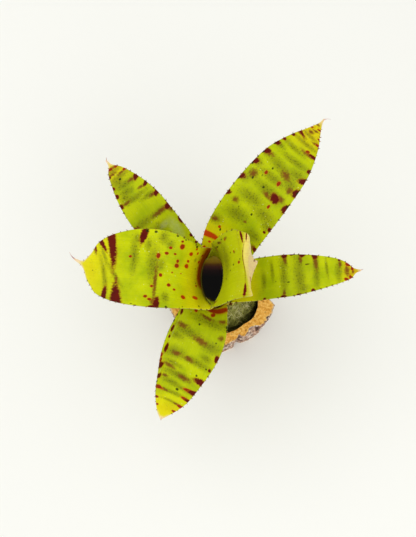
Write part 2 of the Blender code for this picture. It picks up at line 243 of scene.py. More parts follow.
# %% [markdown]
# ## The shape of a leaf
# A neoregelia's leaf is a strap that starts as a broad sheath, part of the cup, and then leans out
# as a shallow channelled blade. Instead of sculpting six leaves, one formula lays any leaf: the
# midline climbs the vase and then runs through a few stations, and each cross-section is an arc
# that opens from the vase's own oval to the blade's channel. The construction model uses the same
# formula and the same stations, so the fine leaves lie exactly where the plain ones are.

# %% The rosette's vase
AXIS_X = -4.5 * MM
AXIS_Y = -0.3 * MM
VASE_PROFILE = ((5.4, 50), (7.2, 53.6), (8.4, 60.5), (8.9, 70), (9.2, 83), (9.8, 95), (10.3, 105), (11, 115))
LAYER_PITCH = 1.3
MOUTH_SQUEEZE_X = 0.40
MOUTH_SQUEEZE_Y = 0.22
SQUEEZE_FROM = 60
SQUEEZE_TO = 102


def smooth_line(points, steps=48):
    """Runs a Catmull-Rom curve through the points and returns it as a dense polyline."""
    given = np.array(points, float)
    padded = np.vstack([2 * given[0] - given[1], given, 2 * given[-1] - given[-2]])
    line = []
    for a, b, c, d in zip(padded, padded[1:], padded[2:], padded[3:]):
        for t in np.linspace(0, 1, steps, endpoint=False):
            line.append(0.5 * (2 * b + (c - a) * t + (2 * a - 5 * b + 4 * c - d) * t ** 2
                               + (3 * b - a - 3 * c + d) * t ** 3))
    line.append(given[-1])
    return np.array(line)


def distances(line):
    """Distance along a polyline at each of its points."""
    steps = np.linalg.norm(np.diff(line, axis=0), axis=1)
    return np.concatenate([[0], np.cumsum(steps)])


def sample(distance, along, values):
    """Reads a polyline's coordinates at the given distances along it."""
    return np.stack([np.interp(distance, along, values[:, i]) for i in range(values.shape[1])], -1)


VASE_LINE = smooth_line(VASE_PROFILE)
VASE_ALONG = distances(VASE_LINE)


def vase_radii(t, layer):
    """Half lengths of a layer's oval along X and Y, and its height, at distance t up the vase."""
    half_span = 0.8
    t = np.clip(t, 0, VASE_ALONG[-1])
    here = sample(t, VASE_ALONG, VASE_LINE)
    step = (sample(np.clip(t + half_span, 0, VASE_ALONG[-1]), VASE_ALONG, VASE_LINE)
            - sample(np.clip(t - half_span, 0, VASE_ALONG[-1]), VASE_ALONG, VASE_LINE))
    step /= np.linalg.norm(step, axis=-1, keepdims=True)
    squeeze = smooth_step(SQUEEZE_FROM, SQUEEZE_TO, here[..., 1])
    out = layer * LAYER_PITCH * step[..., 1]
    return (here[..., 0] * (1 - MOUTH_SQUEEZE_X * squeeze) + out,
            here[..., 0] * (1 + MOUTH_SQUEEZE_Y * squeeze) + out,
            here[..., 1] - layer * LAYER_PITCH * step[..., 0])


def sheath_point(t, angle, layer):
    """A point of the nested vase, in millimetres from the plant's axis."""
    x, y, height = vase_radii(t, layer)
    return np.stack([np.cos(angle) * x, np.sin(angle) * y, height + 0 * angle], -1)


print("the vase is", round(VASE_ALONG[-1]), "mm up its side")


# %% [markdown]
# Six leaves spiral out of the cup. The lowest ones are the oldest and lie flattest, and the heart
# leaf is the youngest and stands over the water. Their stations were read off the plant from
# above, with the heights that a rosette of this size has.

# %% The six leaves' stations
# Azimuth is in degrees. Leave is how far up its sheath a leaf turns outward. Channel is the blade's
# cross-section radius, clasp and mouth are the sheath's half widths at half height and top, and curl
# rolls in the left margin, or the right one where it is negative. All are in millimetres.
# Each blade station is the distance outward and to the left of the plant's axis, the height and
# the half width.
LEAVES = {
    "leaf_right": {
        "azimuth": 5, "layer": 3.5, "leave": 28, "channel": 30, "clasp": 10, "mouth": 9.5, "curl": 0,
        "blade": ((23, 0.9, 82, 11.2), (33, 0.3, 89, 11.4), (42, 0, 92, 11), (51, 0.2, 93, 9.6),
                  (59, 0.5, 92, 8), (65.6, 0.5, 90.3, 6.3), (71.2, 0.2, 88.2, 4),
                  (74.6, 0.5, 86.8, 1.3), (78, 0.8, 85.6, 0.4))},
    "leaf_upper_left": {
        "azimuth": 134, "layer": 3, "leave": 34, "channel": 30, "clasp": 17.5, "mouth": 13, "curl": 0,
        "blade": ((22, 1.5, 86, 11.6), (33, 1, 92, 11.5), (44.6, 0.3, 97, 11.4),
                  (53.5, -0.6, 99.4, 10.9), (62, -1.5, 100.2, 9.3), (70.4, -2.4, 99.4, 6.8),
                  (77.7, -3.1, 97.6, 4.1), (82.4, -3.7, 95.7, 1.1), (86.6, -4.3, 94, 0.4))},
    "leaf_lower": {
        "azimuth": 251, "layer": 2, "leave": 40, "channel": 30, "clasp": 15, "mouth": 12.5, "curl": -3.2,
        "blade": ((17, 1.4, 95, 12.8), (24, 1.2, 98.6, 14.6), (32, 0.7, 99.6, 15.6),
                  (40, -0.1, 98, 15), (48.2, -0.8, 94, 13), (60.7, -1.9, 85, 9.2),
                  (69.8, -3.3, 77.2, 4.2), (74.4, -3.7, 73, 0.6))},
    "leaf_upper_right": {
        "azimuth": 57, "layer": 2, "leave": 41, "channel": 34, "clasp": 17, "mouth": 14.5, "curl": 0,
        "blade": ((15.6, 3.2, 98, 13.8), (23, 3.5, 108, 14.2), (32.8, 2.6, 116.6, 14.6),
                  (47, 0.6, 124.6, 14.2), (62, -1.4, 128.2, 12.4), (75.4, -2.9, 127.4, 7.8),
                  (83, -3.4, 125.4, 4.2), (90.4, -3.8, 122.8, 1), (94.4, -3.8, 121.2, 0.4))},
    "leaf_left": {
        "azimuth": 177, "layer": 1, "leave": 52, "channel": 34, "clasp": 22, "mouth": 16, "curl": 0,
        "blade": ((10.5, 2.2, 112.5, 15.2), (16.5, 2, 119, 17.4), (25.6, 1.2, 123, 19.4),
                  (35, 1, 124, 19.2), (42.4, 0.6, 122.2, 17.8), (50.2, -0.3, 118, 15.4),
                  (55.7, -1.2, 114, 12.4), (59.8, -1.8, 110.6, 8.4), (63, -2.8, 107.6, 4.6),
                  (66.1, -4, 104.6, 1.4), (71, -6.6, 101.2, 0.4))},
    "leaf_heart": {
        "azimuth": -2, "layer": 0, "leave": 61, "channel": 36, "clasp": 27, "mouth": 16.5, "curl": 0,
        "blade": ((4.8, -0.6, 117, 15.9), (7.2, -0.4, 128, 17.4), (10.2, 0, 136, 17.2),
                  (12.9, 0.2, 139.4, 15.6), (14.8, 0.9, 136, 10.2), (16.4, 2.2, 129, 6.4),
                  (18.6, 4.2, 122, 2.8), (20.4, 6.1, 118, 0.6))},
}
SHEATH_STATIONS = 14
# A sheath's half width at its foot, as a share of its clasp
FOOT_SHARE = 0.66
UNROLL_BEFORE = 4
UNROLL_AFTER = 24
WIDEST_WRAP = radians(148)
CURL_PULL = 0.6
print("leaves by layer, from the heart outwards:", sorted(LEAVES, key=lambda name: LEAVES[name]["layer"]))


# %% [markdown]
# A leaf's surface has two coordinates: the distance along its midline in millimetres, and the side,
# which runs from -1 at the right margin to 1 at the left. The marks, the spines and the thickness
# are all laid in these two, so they follow the leaf wherever it bends.

# %% One leaf's surface
class LeafShape:
    """The mid-surface of one leaf, placed by how far along and how far across it a point is."""

    def __init__(self, leaf):
        self.leaf = leaf
        self.angle = radians(leaf["azimuth"])
        outward = np.array([cos(self.angle), sin(self.angle), 0])
        self.leftward = np.array([-sin(self.angle), cos(self.angle), 0])
        self.sheath_t = np.linspace(0, leaf["leave"], SHEATH_STATIONS)
        rise = sheath_point(self.sheath_t, np.full(SHEATH_STATIONS, self.angle), leaf["layer"])
        self.sheath_along = distances(rise)
        widths = np.interp(self.sheath_t, (0, 0.5 * leaf["leave"], leaf["leave"]),
                           (FOOT_SHARE * leaf["clasp"], leaf["clasp"], leaf["mouth"]))
        stations = [(*point, width) for point, width in zip(rise, widths)]
        for out, side, height, half_width in leaf["blade"]:
            place = outward * out + self.leftward * side
            stations.append((place[0], place[1], height, half_width))
        self.line = smooth_line(stations)
        self.along = distances(self.line[:, :3])
        self.length = self.along[-1]
        self.leave = self.sheath_along[-1]

    def frame(self, distance):
        """The midline's point, its direction, the way across and the upper face's normal."""
        reach = 0.5
        middle = sample(distance, self.along, self.line[:, :3])
        ahead = (sample(np.clip(distance + reach, 0, self.length), self.along, self.line[:, :3])
                 - sample(np.clip(distance - reach, 0, self.length), self.along, self.line[:, :3]))
        ahead /= np.linalg.norm(ahead, axis=-1, keepdims=True)
        across = self.leftward - (ahead @ self.leftward)[..., None] * ahead
        across /= np.linalg.norm(across, axis=-1, keepdims=True)
        return middle, ahead, across, np.cross(ahead, across)

    def half_width(self, distance):
        """Half the blade's width, measured across the skin."""
        return np.interp(distance, self.along, self.line[:, 3])

    def place(self, distance, side):
        """Metres in the plant's frame. Side runs from -1 at the right margin to 1 at the left."""
        middle, _, across, normal = self.frame(distance)
        channel = self.leaf["channel"]
        open_out = smooth_step(self.leave - UNROLL_BEFORE, self.leave + UNROLL_AFTER, distance)
        t = np.interp(distance, np.append(self.sheath_along, self.leave + 100),
                      np.append(self.sheath_t, self.leaf["leave"] + 100))
        x_radius, y_radius, _ = vase_radii(t, self.leaf["layer"])
        flat = np.zeros_like(x_radius)
        vase_out = np.stack([x_radius * cos(self.angle), y_radius * sin(self.angle), flat], -1)
        vase_round = np.stack([-x_radius * sin(self.angle), y_radius * cos(self.angle), flat], -1)
        mix = open_out[..., None]
        arc_out = (1 - mix) * vase_out - mix * channel * normal
        arc_round = (1 - mix) * vase_round + mix * channel * across
        radius = (1 - open_out) * np.sqrt(x_radius * y_radius) + open_out * channel
        turn = side * np.minimum(self.half_width(distance) / radius, WIDEST_WRAP)
        offset = arc_round * np.sin(turn)[..., None] - arc_out * (1 - np.cos(turn))[..., None]
        offset = offset + self.rolled_margin(distance, side, across, normal)
        return (middle + offset) * MM + np.array([AXIS_X, AXIS_Y, 0])

    def rolled_margin(self, distance, side, across, normal):
        """Rolls one margin up and in along the middle of the blade: the left for a positive curl."""
        curl = self.leaf["curl"]
        hand = 1 if curl > 0 else -1
        blade = (distance - self.leave) / (self.length - self.leave)
        zone = smooth_step(0, 0.3, blade) * (1 - smooth_step(0.55, 0.95, blade))
        roll = abs(curl) * zone * np.clip((side * hand - 0.5) / 0.5, 0, 1) ** 2
        return normal * roll[..., None] - across * (hand * CURL_PULL * roll)[..., None]


SHAPES = {name: LeafShape(leaf) for name, leaf in LEAVES.items()}
for name, shape in SHAPES.items():
    print(name, "is", round(shape.length), "mm long and leaves the cup after", round(shape.leave), "mm")


# %% [markdown]
# ## Where the markings are
# The bands and spots are pigment in the skin, apart from the few marks below that are painted shade
# or sheen. They could be drawn by noise alone, but each leaf of this plant has its own pattern, so
# the big ones are placed one by one in the leaf's own coordinates and noise only frays them. Every
# mark is an oval: distance from the leaf's foot in millimetres, side from -1 to 1, its half sizes
# along and across in millimetres, and how far it slants.
# Maroon marks are dense, ember ones are small and brick red, rust ones break up into brown dots,
# olive ones are a haze of dark green dots, bloom and sheen ones are partly a bloom of pale scales
# and partly a painted sheen, and ink ones are single blackish dots.

# %% Markings
MARKS = {
    "leaf_left": {
        "maroon": (
            (100.8, 0.98, 2.4, 9.5, -0.32), (109.2, -1.0, 2.5, 15.5, -0.12),
            (107.7, 0.98, 1.5, 6, -0.2), (116.1, -0.98, 1.6, 5.2, -0.7), (84.7, 0.96, 1.6, 5, 0.1),
            (92.2, -0.86, 1.6, 4.6, 0.25), (86.3, 1, 1.8, 1.2, 0), (120.3, -0.97, 0.9, 2, -0.6)),
        "ember": (
            (65.3, 0.62, 1.7, 0.9, 0), (71.8, 0.65, 1.2, 1.1, 0), (76.1, 0.45, 0.7, 0.6, 0),
            (80.8, -0.62, 0.8, 0.7, 0), (78.8, 0.34, 1, 0.9, 0), (87.2, 0.42, 0.8, 0.7, 0),
            (87.8, 0.78, 1, 0.8, 0), (89.6, 0.71, 0.9, 0.8, 0), (83.3, 0.11, 0.9, 0.9, 0),
            (77.8, -0.01, 0.5, 0.5, 0), (73.3, -0.04, 0.4, 0.4, 0), (70.8, -0.3, 1.2, 1.1, 0),
            (76.1, -0.22, 1.2, 1.1, 0), (76.1, -0.35, 0.8, 0.8, 0), (70.6, -0.45, 0.8, 0.7, 0),
            (85.3, -0.36, 0.9, 1.3, 0), (78.2, -0.5, 0.7, 0.6, 0), (82, -0.46, 0.9, 0.8, 0),
            (70, -0.68, 1.1, 1, 0), (75.6, -0.76, 1.3, 1.3, 0), (98.3, -0.31, 0.9, 0.6, 0),
            (76.3, -0.89, 0.7, 0.6, 0), (65.1, -0.79, 0.8, 0.7, 0), (60.8, -0.5, 1.2, 0.7, 0),
            (67.3, -0.9, 0.8, 0.6, 0), (61.8, 0.23, 1.2, 0.5, 0), (59.8, -0.7, 1, 0.6, 0)),
        "rust": (
            (85.7, 0.35, 1.1, 10.5, 0.03), (86.2, 0.82, 1.6, 3, 0.1), (104.1, 0.35, 1.1, 2.6, -0.3),
            (120.3, -0.85, 1.6, 3, -0.4)),
        "olive": (
            (87.3, -0.15, 2.6, 9, 0), (96.3, -0.35, 1.9, 8.5, 0), (95.2, -0.75, 1.4, 2.4, 0),
            (105.7, 0.22, 1.4, 6, -0.9), (111.8, 0.3, 1.5, 9, -0.5), (84.3, -0.82, 1.8, 3, 0),
            (80.3, 0.7, 1.7, 2.4, 0), (83.8, -0.15, 1.8, 2.6, 0), (65.3, -0.57, 1.2, 1, 0),
            (89.8, -0.6, 1.6, 3, 0), (81.3, -0.7, 1.8, 2, 0), (113.8, -0.4, 1.4, 5, -0.5)),
        "frost": (),
        "ink": (
            (90.8, -0.95, 0.8, 0.6, 0), (87.3, -0.94, 0.7, 0.7, 0), (79.1, -0.97, 0.7, 0.5, 0),
            (74.8, -0.97, 0.5, 0.5, 0), (67.8, -0.97, 1, 0.7, 0), (64.8, 0.9, 0.5, 0.5, 0),
            (120.8, 0.24, 0.4, 0.4, 0), (72.8, 0.95, 0.5, 0.5, 0), (94.5, 0.97, 0.5, 0.4, 0),
            (79.8, 0.97, 0.6, 0.5, 0), (62.3, 0.15, 0.5, 0.4, 0), (63.3, -0.3, 0.5, 0.4, 0))},
    "leaf_upper_right": {
        "maroon": (
            (91.9, -0.43, 2.1, 2.6, 0.1), (81, 1, 1.4, 1.8, -0.3), (65, -0.95, 1.4, 1.2, 0),
            (126.5, 0.95, 0.9, 3.2, 0.45), (118.4, -0.92, 0.8, 3.6, 0.1), (78.8, -0.98, 1.3, 1.4, 0),
            (91.4, -1, 2.3, 2.2, -0.2), (100.1, -0.97, 2.1, 2.1, -0.3), (106.3, -0.97, 1.5, 3, -0.3),
            (111.3, -0.99, 1.1, 1.6, 0), (106.8, 0.96, 1.5, 2.6, -0.3), (113.3, 0.98, 1.4, 1.9, -0.2),
            (99.8, 0.97, 1.5, 2.1, -0.3), (90.8, 0.98, 1.4, 2.2, -0.3), (117.3, 0.97, 0.9, 1.3, 0),
            (122.3, 0.97, 0.9, 1.6, 0), (76.1, -0.86, 0.7, 0.8, 0)),
        "ember": (
            (57.7, 0.9, 1.7, 8.5, 0.12), (49.5, 0.88, 0.9, 0.9, 0), (63.8, 0.57, 0.8, 0.8, 0),
            (48.8, 0.85, 1, 0.9, 0), (53.3, 0.72, 0.7, 0.8, 0), (99, 0.38, 1, 0.8, 0),
            (98.5, -0.22, 1.3, 0.9, 0), (87.1, -0.43, 1.1, 0.7, 0), (124.9, -0.92, 0.7, 1.4, 0),
            (128.3, -0.92, 0.6, 1, 0), (133.6, -0.7, 0.6, 1.4, 0), (47.3, 0.5, 1.2, 1.4, 0),
            (132.8, 0.9, 0.6, 1.2, 0), (119.3, -0.45, 0.8, 1.2, 0)),
        "rust": (
            (80, 0.62, 2, 2, 0), (95, 0.7, 2.2, 2.2, 0), (103.5, -0.25, 2.2, 3.4, 0.15),
            (99, -0.7, 1.9, 2.2, 0), (90.8, -0.15, 1.4, 3, 0.1), (93.3, -0.6, 1.6, 3, -0.1),
            (118.1, -0.55, 1.1, 5, 0.1), (125.3, 0.65, 1.1, 4.4, 0.25), (129.8, 0.25, 1.2, 1.8, 0),
            (136.3, 0.6, 0.8, 1.6, 0.3), (66.8, 0.84, 1.4, 2, 0), (73.5, -0.09, 1, 0.9, 0),
            (124.9, -0.7, 0.8, 2.4, 0), (131.8, -0.2, 0.8, 2.4, 0), (106.9, 0.75, 1.2, 2.6, -0.2),
            (65.3, -0.85, 2, 1.6, 0)),
        "olive": (
            (92.7, -0.1, 2.4, 8, 0.05), (82.3, -0.5, 3, 7, 0), (105.3, 0.15, 2.4, 8, 0.1),
            (111.3, -0.2, 1.6, 8, 0), (67.1, 0.8, 2.4, 3.4, 0), (116.8, 0.3, 1.3, 7, 0.1),
            (74.3, 0.3, 3.4, 6, 0), (85.3, 0.2, 3, 7, 0), (98.8, 0.1, 2, 8, 0), (122.3, 0, 1.1, 7, 0.1),
            (94.3, 0.7, 2.6, 3, 0), (100.3, 0.85, 2, 3, 0), (91.3, 0.85, 2, 3, 0),
            (106.3, 0.85, 1.6, 3, 0), (101.3, -0.6, 3, 4, 0), (106.8, -0.6, 2, 5, 0),
            (113.3, 0.8, 1.4, 3, 0), (79.3, -0.8, 2.4, 3, 0), (70.3, -0.6, 3, 5, 0),
            (127.3, 0.1, 1, 5, 0.2)),
        "frost": (),
        "ink": (
            (62.6, 0.5, 0.9, 0.5, 0), (92.8, 0.12, 0.7, 0.6, 0), (78.6, -0.13, 0.8, 0.6, 0),
            (93.3, 0.62, 0.8, 0.5, 0), (102.3, 0.3, 0.6, 0.5, 0), (78.1, 0.38, 0.5, 0.4, 0),
            (96.8, 0.42, 0.5, 0.4, 0), (98.3, 0.97, 0.7, 0.5, 0), (105.5, 0.99, 0.7, 0.6, 0),
            (89.3, 0.99, 0.7, 0.5, 0), (112.3, 0.99, 0.7, 0.5, 0), (92.8, -0.99, 0.9, 0.7, 0),
            (100.3, -0.99, 0.9, 0.6, 0))},
    "leaf_upper_left": {
        "maroon": (
            (73.6, -0.97, 1.6, 2.6, -0.2), (86.7, 0.97, 1.3, 1.6, -0.2), (92.6, 0.97, 1.4, 1.4, 0),
            (97.2, 0.98, 1.2, 1.2, 0), (82.4, -0.96, 1.4, 2.2, -0.3), (89.5, -0.9, 1.0, 2.2, -0.4),
            (95.6, -0.9, 1.5, 2.2, -0.4), (63.2, -0.98, 1.9, 1, 0), (53.7, -0.96, 1.2, 0.9, 0),
            (73.8, 0.98, 0.9, 1.2, 0), (104.2, 0.97, 0.9, 1, 0), (47.7, -0.97, 1.2, 1, 0)),
        "ember": (
            (103, -0.9, 0.8, 1.2, 0), (108.2, 0.5, 0.9, 1.4, 0), (107.8, -0.7, 0.8, 1, 0)),
        "rust": (
            (73.5, -0.55, 1.5, 6.5, 0), (71, -0.94, 2, 1.2, 0), (89.4, -0.55, 0.9, 2.6, 0),
            (95.8, -0.5, 1, 3, 0), (102.7, -0.4, 0.8, 3, 0), (108.2, 0.1, 1.3, 4, 0),
            (86.8, 0.6, 0.9, 3, -0.1), (82.6, -0.7, 1, 3, 0), (104.6, 0.5, 1, 3, 0),
            (73.4, 0.85, 1.2, 1.6, 0)),
        "olive": (
            (66.7, 0.05, 2.8, 6, 0), (73.6, 0.5, 2, 8.5, 0), (86.7, 0.15, 1.5, 8, 0),
            (95.8, 0.1, 2, 7, 0), (91.7, 0.3, 2.2, 4, 0), (83.7, -0.5, 1.2, 4, 0),
            (61.2, 0.3, 1.8, 6, 0), (101.2, 0.1, 1.6, 6, 0), (98.7, 0.4, 2.6, 3, 0),
            (73.6, -0.2, 1.6, 6, 0), (89.2, 0.5, 3, 3, 0), (106.2, 0.2, 1.6, 4, 0)),
        # A painted sheen over a bloom of pale scales near the cup
        "frost": (
            (61.6, -0.6, 6, 2.6, 0), (66.6, -0.3, 1.6, 3, 0)),
        "ink": (
            (99.7, 0.13, 0.7, 0.9, 0), (59.4, -0.13, 0.5, 0.5, 0))},
    "leaf_right": {
        "maroon": (
            (60.1, 0.95, 1.5, 1.4, 0), (69.4, 0.97, 1.6, 1.2, 0), (75.8, 0.98, 1.5, 2, 0),
            (58.4, -0.98, 1.5, 1, 0), (72.4, -0.96, 0.9, 1.2, 0), (48.3, -0.98, 1, 0.7, 0),
            (88.4, 0.93, 0.7, 0.7, 0), (65.6, -0.99, 1.2, 0.6, 0), (64, 0.98, 1, 0.5, 0)),
        "ember": (
            (93.8, 0.9, 2, 1.2, 0), (91.8, -0.85, 1.3, 0.9, 0), (94.4, -0.75, 0.8, 1, 0),
            (96.2, 0.5, 0.9, 1.1, 0), (42.3, 0.95, 1.5, 1.2, 0)),
        "rust": (
            (92.8, 0.1, 2, 3.4, 0), (75.8, 0.6, 1.3, 5, -0.05), (71.3, 0.48, 1.2, 0.3, 0),
            (60.2, 0.75, 1.2, 2.6, 0), (68.4, 0.75, 1, 2.2, 0), (96.3, 0, 0.8, 1.6, 0),
            (88.8, 0.6, 1, 2, 0), (58.8, -0.8, 1, 2, 0)),
        "olive": (
            (58.8, 0.05, 1.8, 11, 0), (66.8, -0.2, 2.6, 11, 0), (75.6, 0.1, 1.6, 9, 0.1),
            (87.8, 0.05, 1.8, 7, 0.12), (47.3, -0.1, 1.4, 5, 0), (81.3, 0.2, 0.8, 5, 0),
            (67.4, 0.5, 1.6, 5, 0), (52.8, 0.3, 1, 5, 0), (59.8, 0.6, 1.4, 4, 0),
            (67.8, -0.7, 2.4, 3, 0)),
        "frost": (),
        "ink": (
            (71.6, 0.5, 1.4, 0.25, 0), (61, -0.3, 0.8, 0.4, 0), (54.4, -0.2, 0.4, 0.4, 0))},
    "leaf_lower": {
        "maroon": (
            (82.4, 0.96, 1.9, 4, 0.1), (89.9, 0.97, 1.5, 3.4, -0.15), (95.8, 0.97, 0.9, 2, 0),
            (72.3, -0.84, 2.1, 1.2, 0), (63.6, -0.9, 1.5, 1, 0), (67.3, -0.88, 0.7, 0.8, 0),
            (55.5, -0.9, 1.4, 0.9, 0), (80.2, -0.93, 1.7, 1.9, 0.2), (86.4, -0.95, 1.6, 1.7, 0.3),
            (67.9, 0.95, 1.5, 1.3, 0), (74.4, 0.93, 0.8, 1, 0)),
        "ember": (
            (93.4, -0.93, 1.2, 4, 0.5), (90, 0.75, 1.1, 4, -0.1), (95.6, 0.85, 1, 3.4, 0),
            (101.3, 0.95, 1, 2.4, 0), (106.3, 0.95, 0.9, 1.8, 0), (100.9, -0.95, 0.9, 1.6, 0.2),
            (106.3, -0.9, 0.8, 1, 0), (77.6, -0.97, 1, 0.8, 0), (75.4, -0.98, 1, 0.8, 0),
            (45, 0.45, 2.2, 8, 0.15), (48.5, 0.35, 1.3, 1.4, 0), (50, -0.42, 1.1, 1, 0),
            (44, -0.1, 1.6, 4, 0)),
        "rust": (
            (63.6, 0.2, 1.7, 5, 0.12), (84.6, 0.22, 1.7, 4, 0.1), (74, 0.08, 1.4, 3.4, 0.1),
            (60, -0.6, 1.5, 4, -0.1), (73.6, -0.38, 1.3, 3, 0), (80.4, -0.55, 1.3, 4.4, 0.25),
            (95.2, -0.5, 1, 3.2, 0.2), (52.2, 0.8, 1.2, 3, 0), (59.4, 0.85, 1.4, 2, 0),
            (51, 0.1, 1.2, 5, 0.2), (82.6, 0.7, 1.4, 3, 0), (101, 0.6, 0.8, 3, 0),
            (86.6, -0.6, 1, 3, 0.2)),
        "olive": (
            (62, -0.25, 2.2, 8, 0.05), (64.5, 0.6, 2.2, 6, 0), (74, 0.4, 1.8, 8, 0),
            (73.4, -0.45, 2.6, 6, 0), (84, -0.1, 2, 9, 0.1), (89.5, -0.2, 1.6, 7, 0.2),
            (95.3, 0.1, 1.2, 7, 0), (53.5, 0.3, 2.4, 12, 0.1), (100.8, 0.1, 0.9, 5, 0),
            (70, 0.62, 1.6, 3, 0), (90.6, 0.3, 1.2, 5, 0), (65.5, -0.6, 1.8, 4, 0),
            (78.6, -0.4, 1.4, 5, 0.2)),
        # A pale line along the rolled margin, partly pale scales and partly a painted sheen
        "frost": (
            (67, -0.8, 15, 0.28, 0), (83, -0.9, 4, 0.25, 0)),
        "ink": (
            (92.5, 0.15, 0.8, 0.9, 0), (62, 0.72, 0.5, 0.5, 0), (56, -0.05, 0.7, 0.6, 0),
            (80, 0.62, 0.7, 0.6, 0), (74.6, 0.8, 0.5, 0.5, 0), (48, -0.85, 0.8, 0.7, 0),
            (54.5, 0.97, 0.7, 0.5, 0))},
    "leaf_heart": {
        "maroon": (
            (92.5, 0.86, 0.1, 2.8, -0.05), (93, 0.9, 0.1, 2, -0.03), (92, -0.78, 0.1, 3.6, 0.02),
            (99.4, -0.93, 0.7, 0.6, 0)),
        "ember": (
            (81, 0.83, 0.7, 0.6, 0), (90.1, 0.09, 0.8, 0.7, 0), (86.8, 0.43, 0.6, 0.5, 0),
            (98.8, -0.74, 1.1, 1.2, 0.1)),
        "rust": (
            (87.2, 0.4, 0.9, 0.7, 0), (74, 0.86, 3, 0.9, 0), (82, 0.86, 2.4, 0.8, 0),
            (66, 0.75, 3, 1.6, 0), (69.2, -0.85, 4, 0.8, 0), (112, 0.7, 2.5, 0.8, 0),
            (92.45, 0.1, 0.1, 9, 0.04)),
        # The heart's olive marks are painted shade: its face darkens near the water
        "olive": (
            (62, 0, 7, 20, 0), (70, 0.5, 6, 7, 0), (76, 0.4, 5, 8, 0)),
        "frost": (),
        "ink": (
            (83.2, 0.44, 0.7, 0.5, 0), (85.2, 0.08, 0.7, 0.5, 0), (81.7, -0.03, 0.6, 0.4, 0),
            (76.2, -0.2, 0.8, 0.4, 0), (69.7, 0.8, 1.4, 0.5, 0), (73.2, 0.87, 1.6, 0.4, 0),
            (77.2, 0.9, 1.2, 0.4, 0), (65.7, 0.8, 1.2, 0.5, 0), (90.9, 0.17, 0.4, 0.4, 0))},
}
KINDS = ("maroon", "ember", "rust", "olive", "frost", "ink")


def mark_field(shape, marks, distance, side):
    """1 in the middle of the nearest mark, 0.5 on its outline and 0 at twice its size."""
    width = shape.half_width(distance)
    field = np.zeros_like(distance)
    for at, at_side, half_along, half_across, slant in marks:
        across = side * width - at_side * shape.half_width(at)
        along = distance - at - slant * across
        field = np.maximum(field, 1 - 0.5 * np.hypot(along / half_along, across / half_across))
    return field


print("marks placed by hand:", sum(len(marks) for leaf in MARKS.values() for marks in leaf.values()))


# %% [markdown]
# The ground colour shifts along a leaf too. Tips ripen to yellow and end in a pale, dry point, and
# the upper right leaf is bright yellow low down where it came out of the cup. Inside the cup the
# skin is stained wine red.

# %% Where each leaf ripens
# How far the tip's yellow reaches back, how brown it is, and the length of the dry point
TIP_RIPENING = {"leaf_left": (22, 0, 8), "leaf_upper_right": (17, 0.5, 3),
                "leaf_upper_left": (12, 0.35, 4), "leaf_right": (9, 0.8, 1.2),
                "leaf_lower": (13, 0.15, 3), "leaf_heart": (18, 1, 3)}
# The heart leaf pales beyond its crest, which lies at this distance and leans by this much
CREST = {"leaf_heart": (92.3, 0.3)}
# The yellow patch near the cup reaches this far along the leaf, from this side outwards
BASE_RIPENING = {"leaf_left": (78, -1), "leaf_upper_right": (72, 0.1), "leaf_upper_left": (45, -1),
                 "leaf_right": (50, -1), "leaf_lower": (52, -1), "leaf_heart": (60, -1)}
# How far past the cup's mouth the wine red stain shows, how strong it is, and the side where it
# ends, which is 2 where it runs right across
STAIN = {"leaf_left": (11, 1, 0.4), "leaf_upper_right": (-6, 1, 2), "leaf_upper_left": (-4, 1, 2),
         "leaf_right": (-4, 1, 2), "leaf_lower": (3, 1, 2), "leaf_heart": (-8, 0.5, 2)}
STAIN_FADE = 0.4
# The yellow patch and the stain fade out over this length
CUP_FADE = 14
# Painted shade: lower leaves get less light, so their green is painted deeper, and the heart leaf
# is painted the deepest of all
LEAF_SHADE = {"leaf_left": 0, "leaf_upper_right": 0.25, "leaf_upper_left": 0.15, "leaf_right": 0.1,
         "leaf_lower": 0.1, "leaf_heart": 1.1}


def ripeness(name, shape, distance, side):
    """Six fields of a leaf: how ripe, brown, dry, stained and flushed each point is, and how much painted
    shade it has.
    """
    reach, brown, dry_length = TIP_RIPENING[name]
    tip = shape.length
    toward_tip = smooth_step(tip - 1.8 * reach, tip - 0.4 * reach, distance)
    base, from_side = BASE_RIPENING[name]
    near_cup = 1 - smooth_step(base - CUP_FADE, base, distance)
    near_cup = near_cup * smooth_step(from_side - 0.5, from_side + 0.3, side)
    from_edge = shape.half_width(distance) * (1 - np.abs(side))
    pale_edge = 1 - smooth_step(0.3, 1.6, from_edge)
    pale_edge = pale_edge * smooth_step(tip - 2.2 * dry_length, tip - dry_length, distance)
    dry = smooth_step(tip - dry_length, tip - 0.35 * dry_length, distance)
    deep = np.full_like(distance, LEAF_SHADE[name])
    if name in CREST:
        crest, lean = CREST[name]
        beyond = distance - crest - lean * side
        toward_tip = 0.3 + 0.7 * smooth_step(0, 0.5, beyond)
        dry = np.maximum(dry, 0.35 * smooth_step(0, 0.6, beyond) + 0.3 * smooth_step(1, 8, beyond))
        deep = deep * (1 - 0.1 * smooth_step(64, 88, distance))
    stain_reach, strength, last_side = STAIN[name]
    mouth = shape.leave + stain_reach
    stain = strength * (1 - smooth_step(mouth - CUP_FADE, mouth, distance))
    stain = stain * (1 - smooth_step(last_side - STAIN_FADE, last_side, side))
    return {"ripe": np.maximum(toward_tip, near_cup),
            "brown": brown * smooth_step(tip - 1.6 * reach, tip - 0.6 * reach, distance),
            "dry": np.maximum(dry, 0.6 * pale_edge), "stain": stain, "blush": near_cup, "deep": deep}


for name, shape in SHAPES.items():
    middle = ripeness(name, shape, np.array([shape.length / 2]), np.array([0.0]))
    print(name, "is", round(float(middle["ripe"][0]), 2), "ripe half way along")


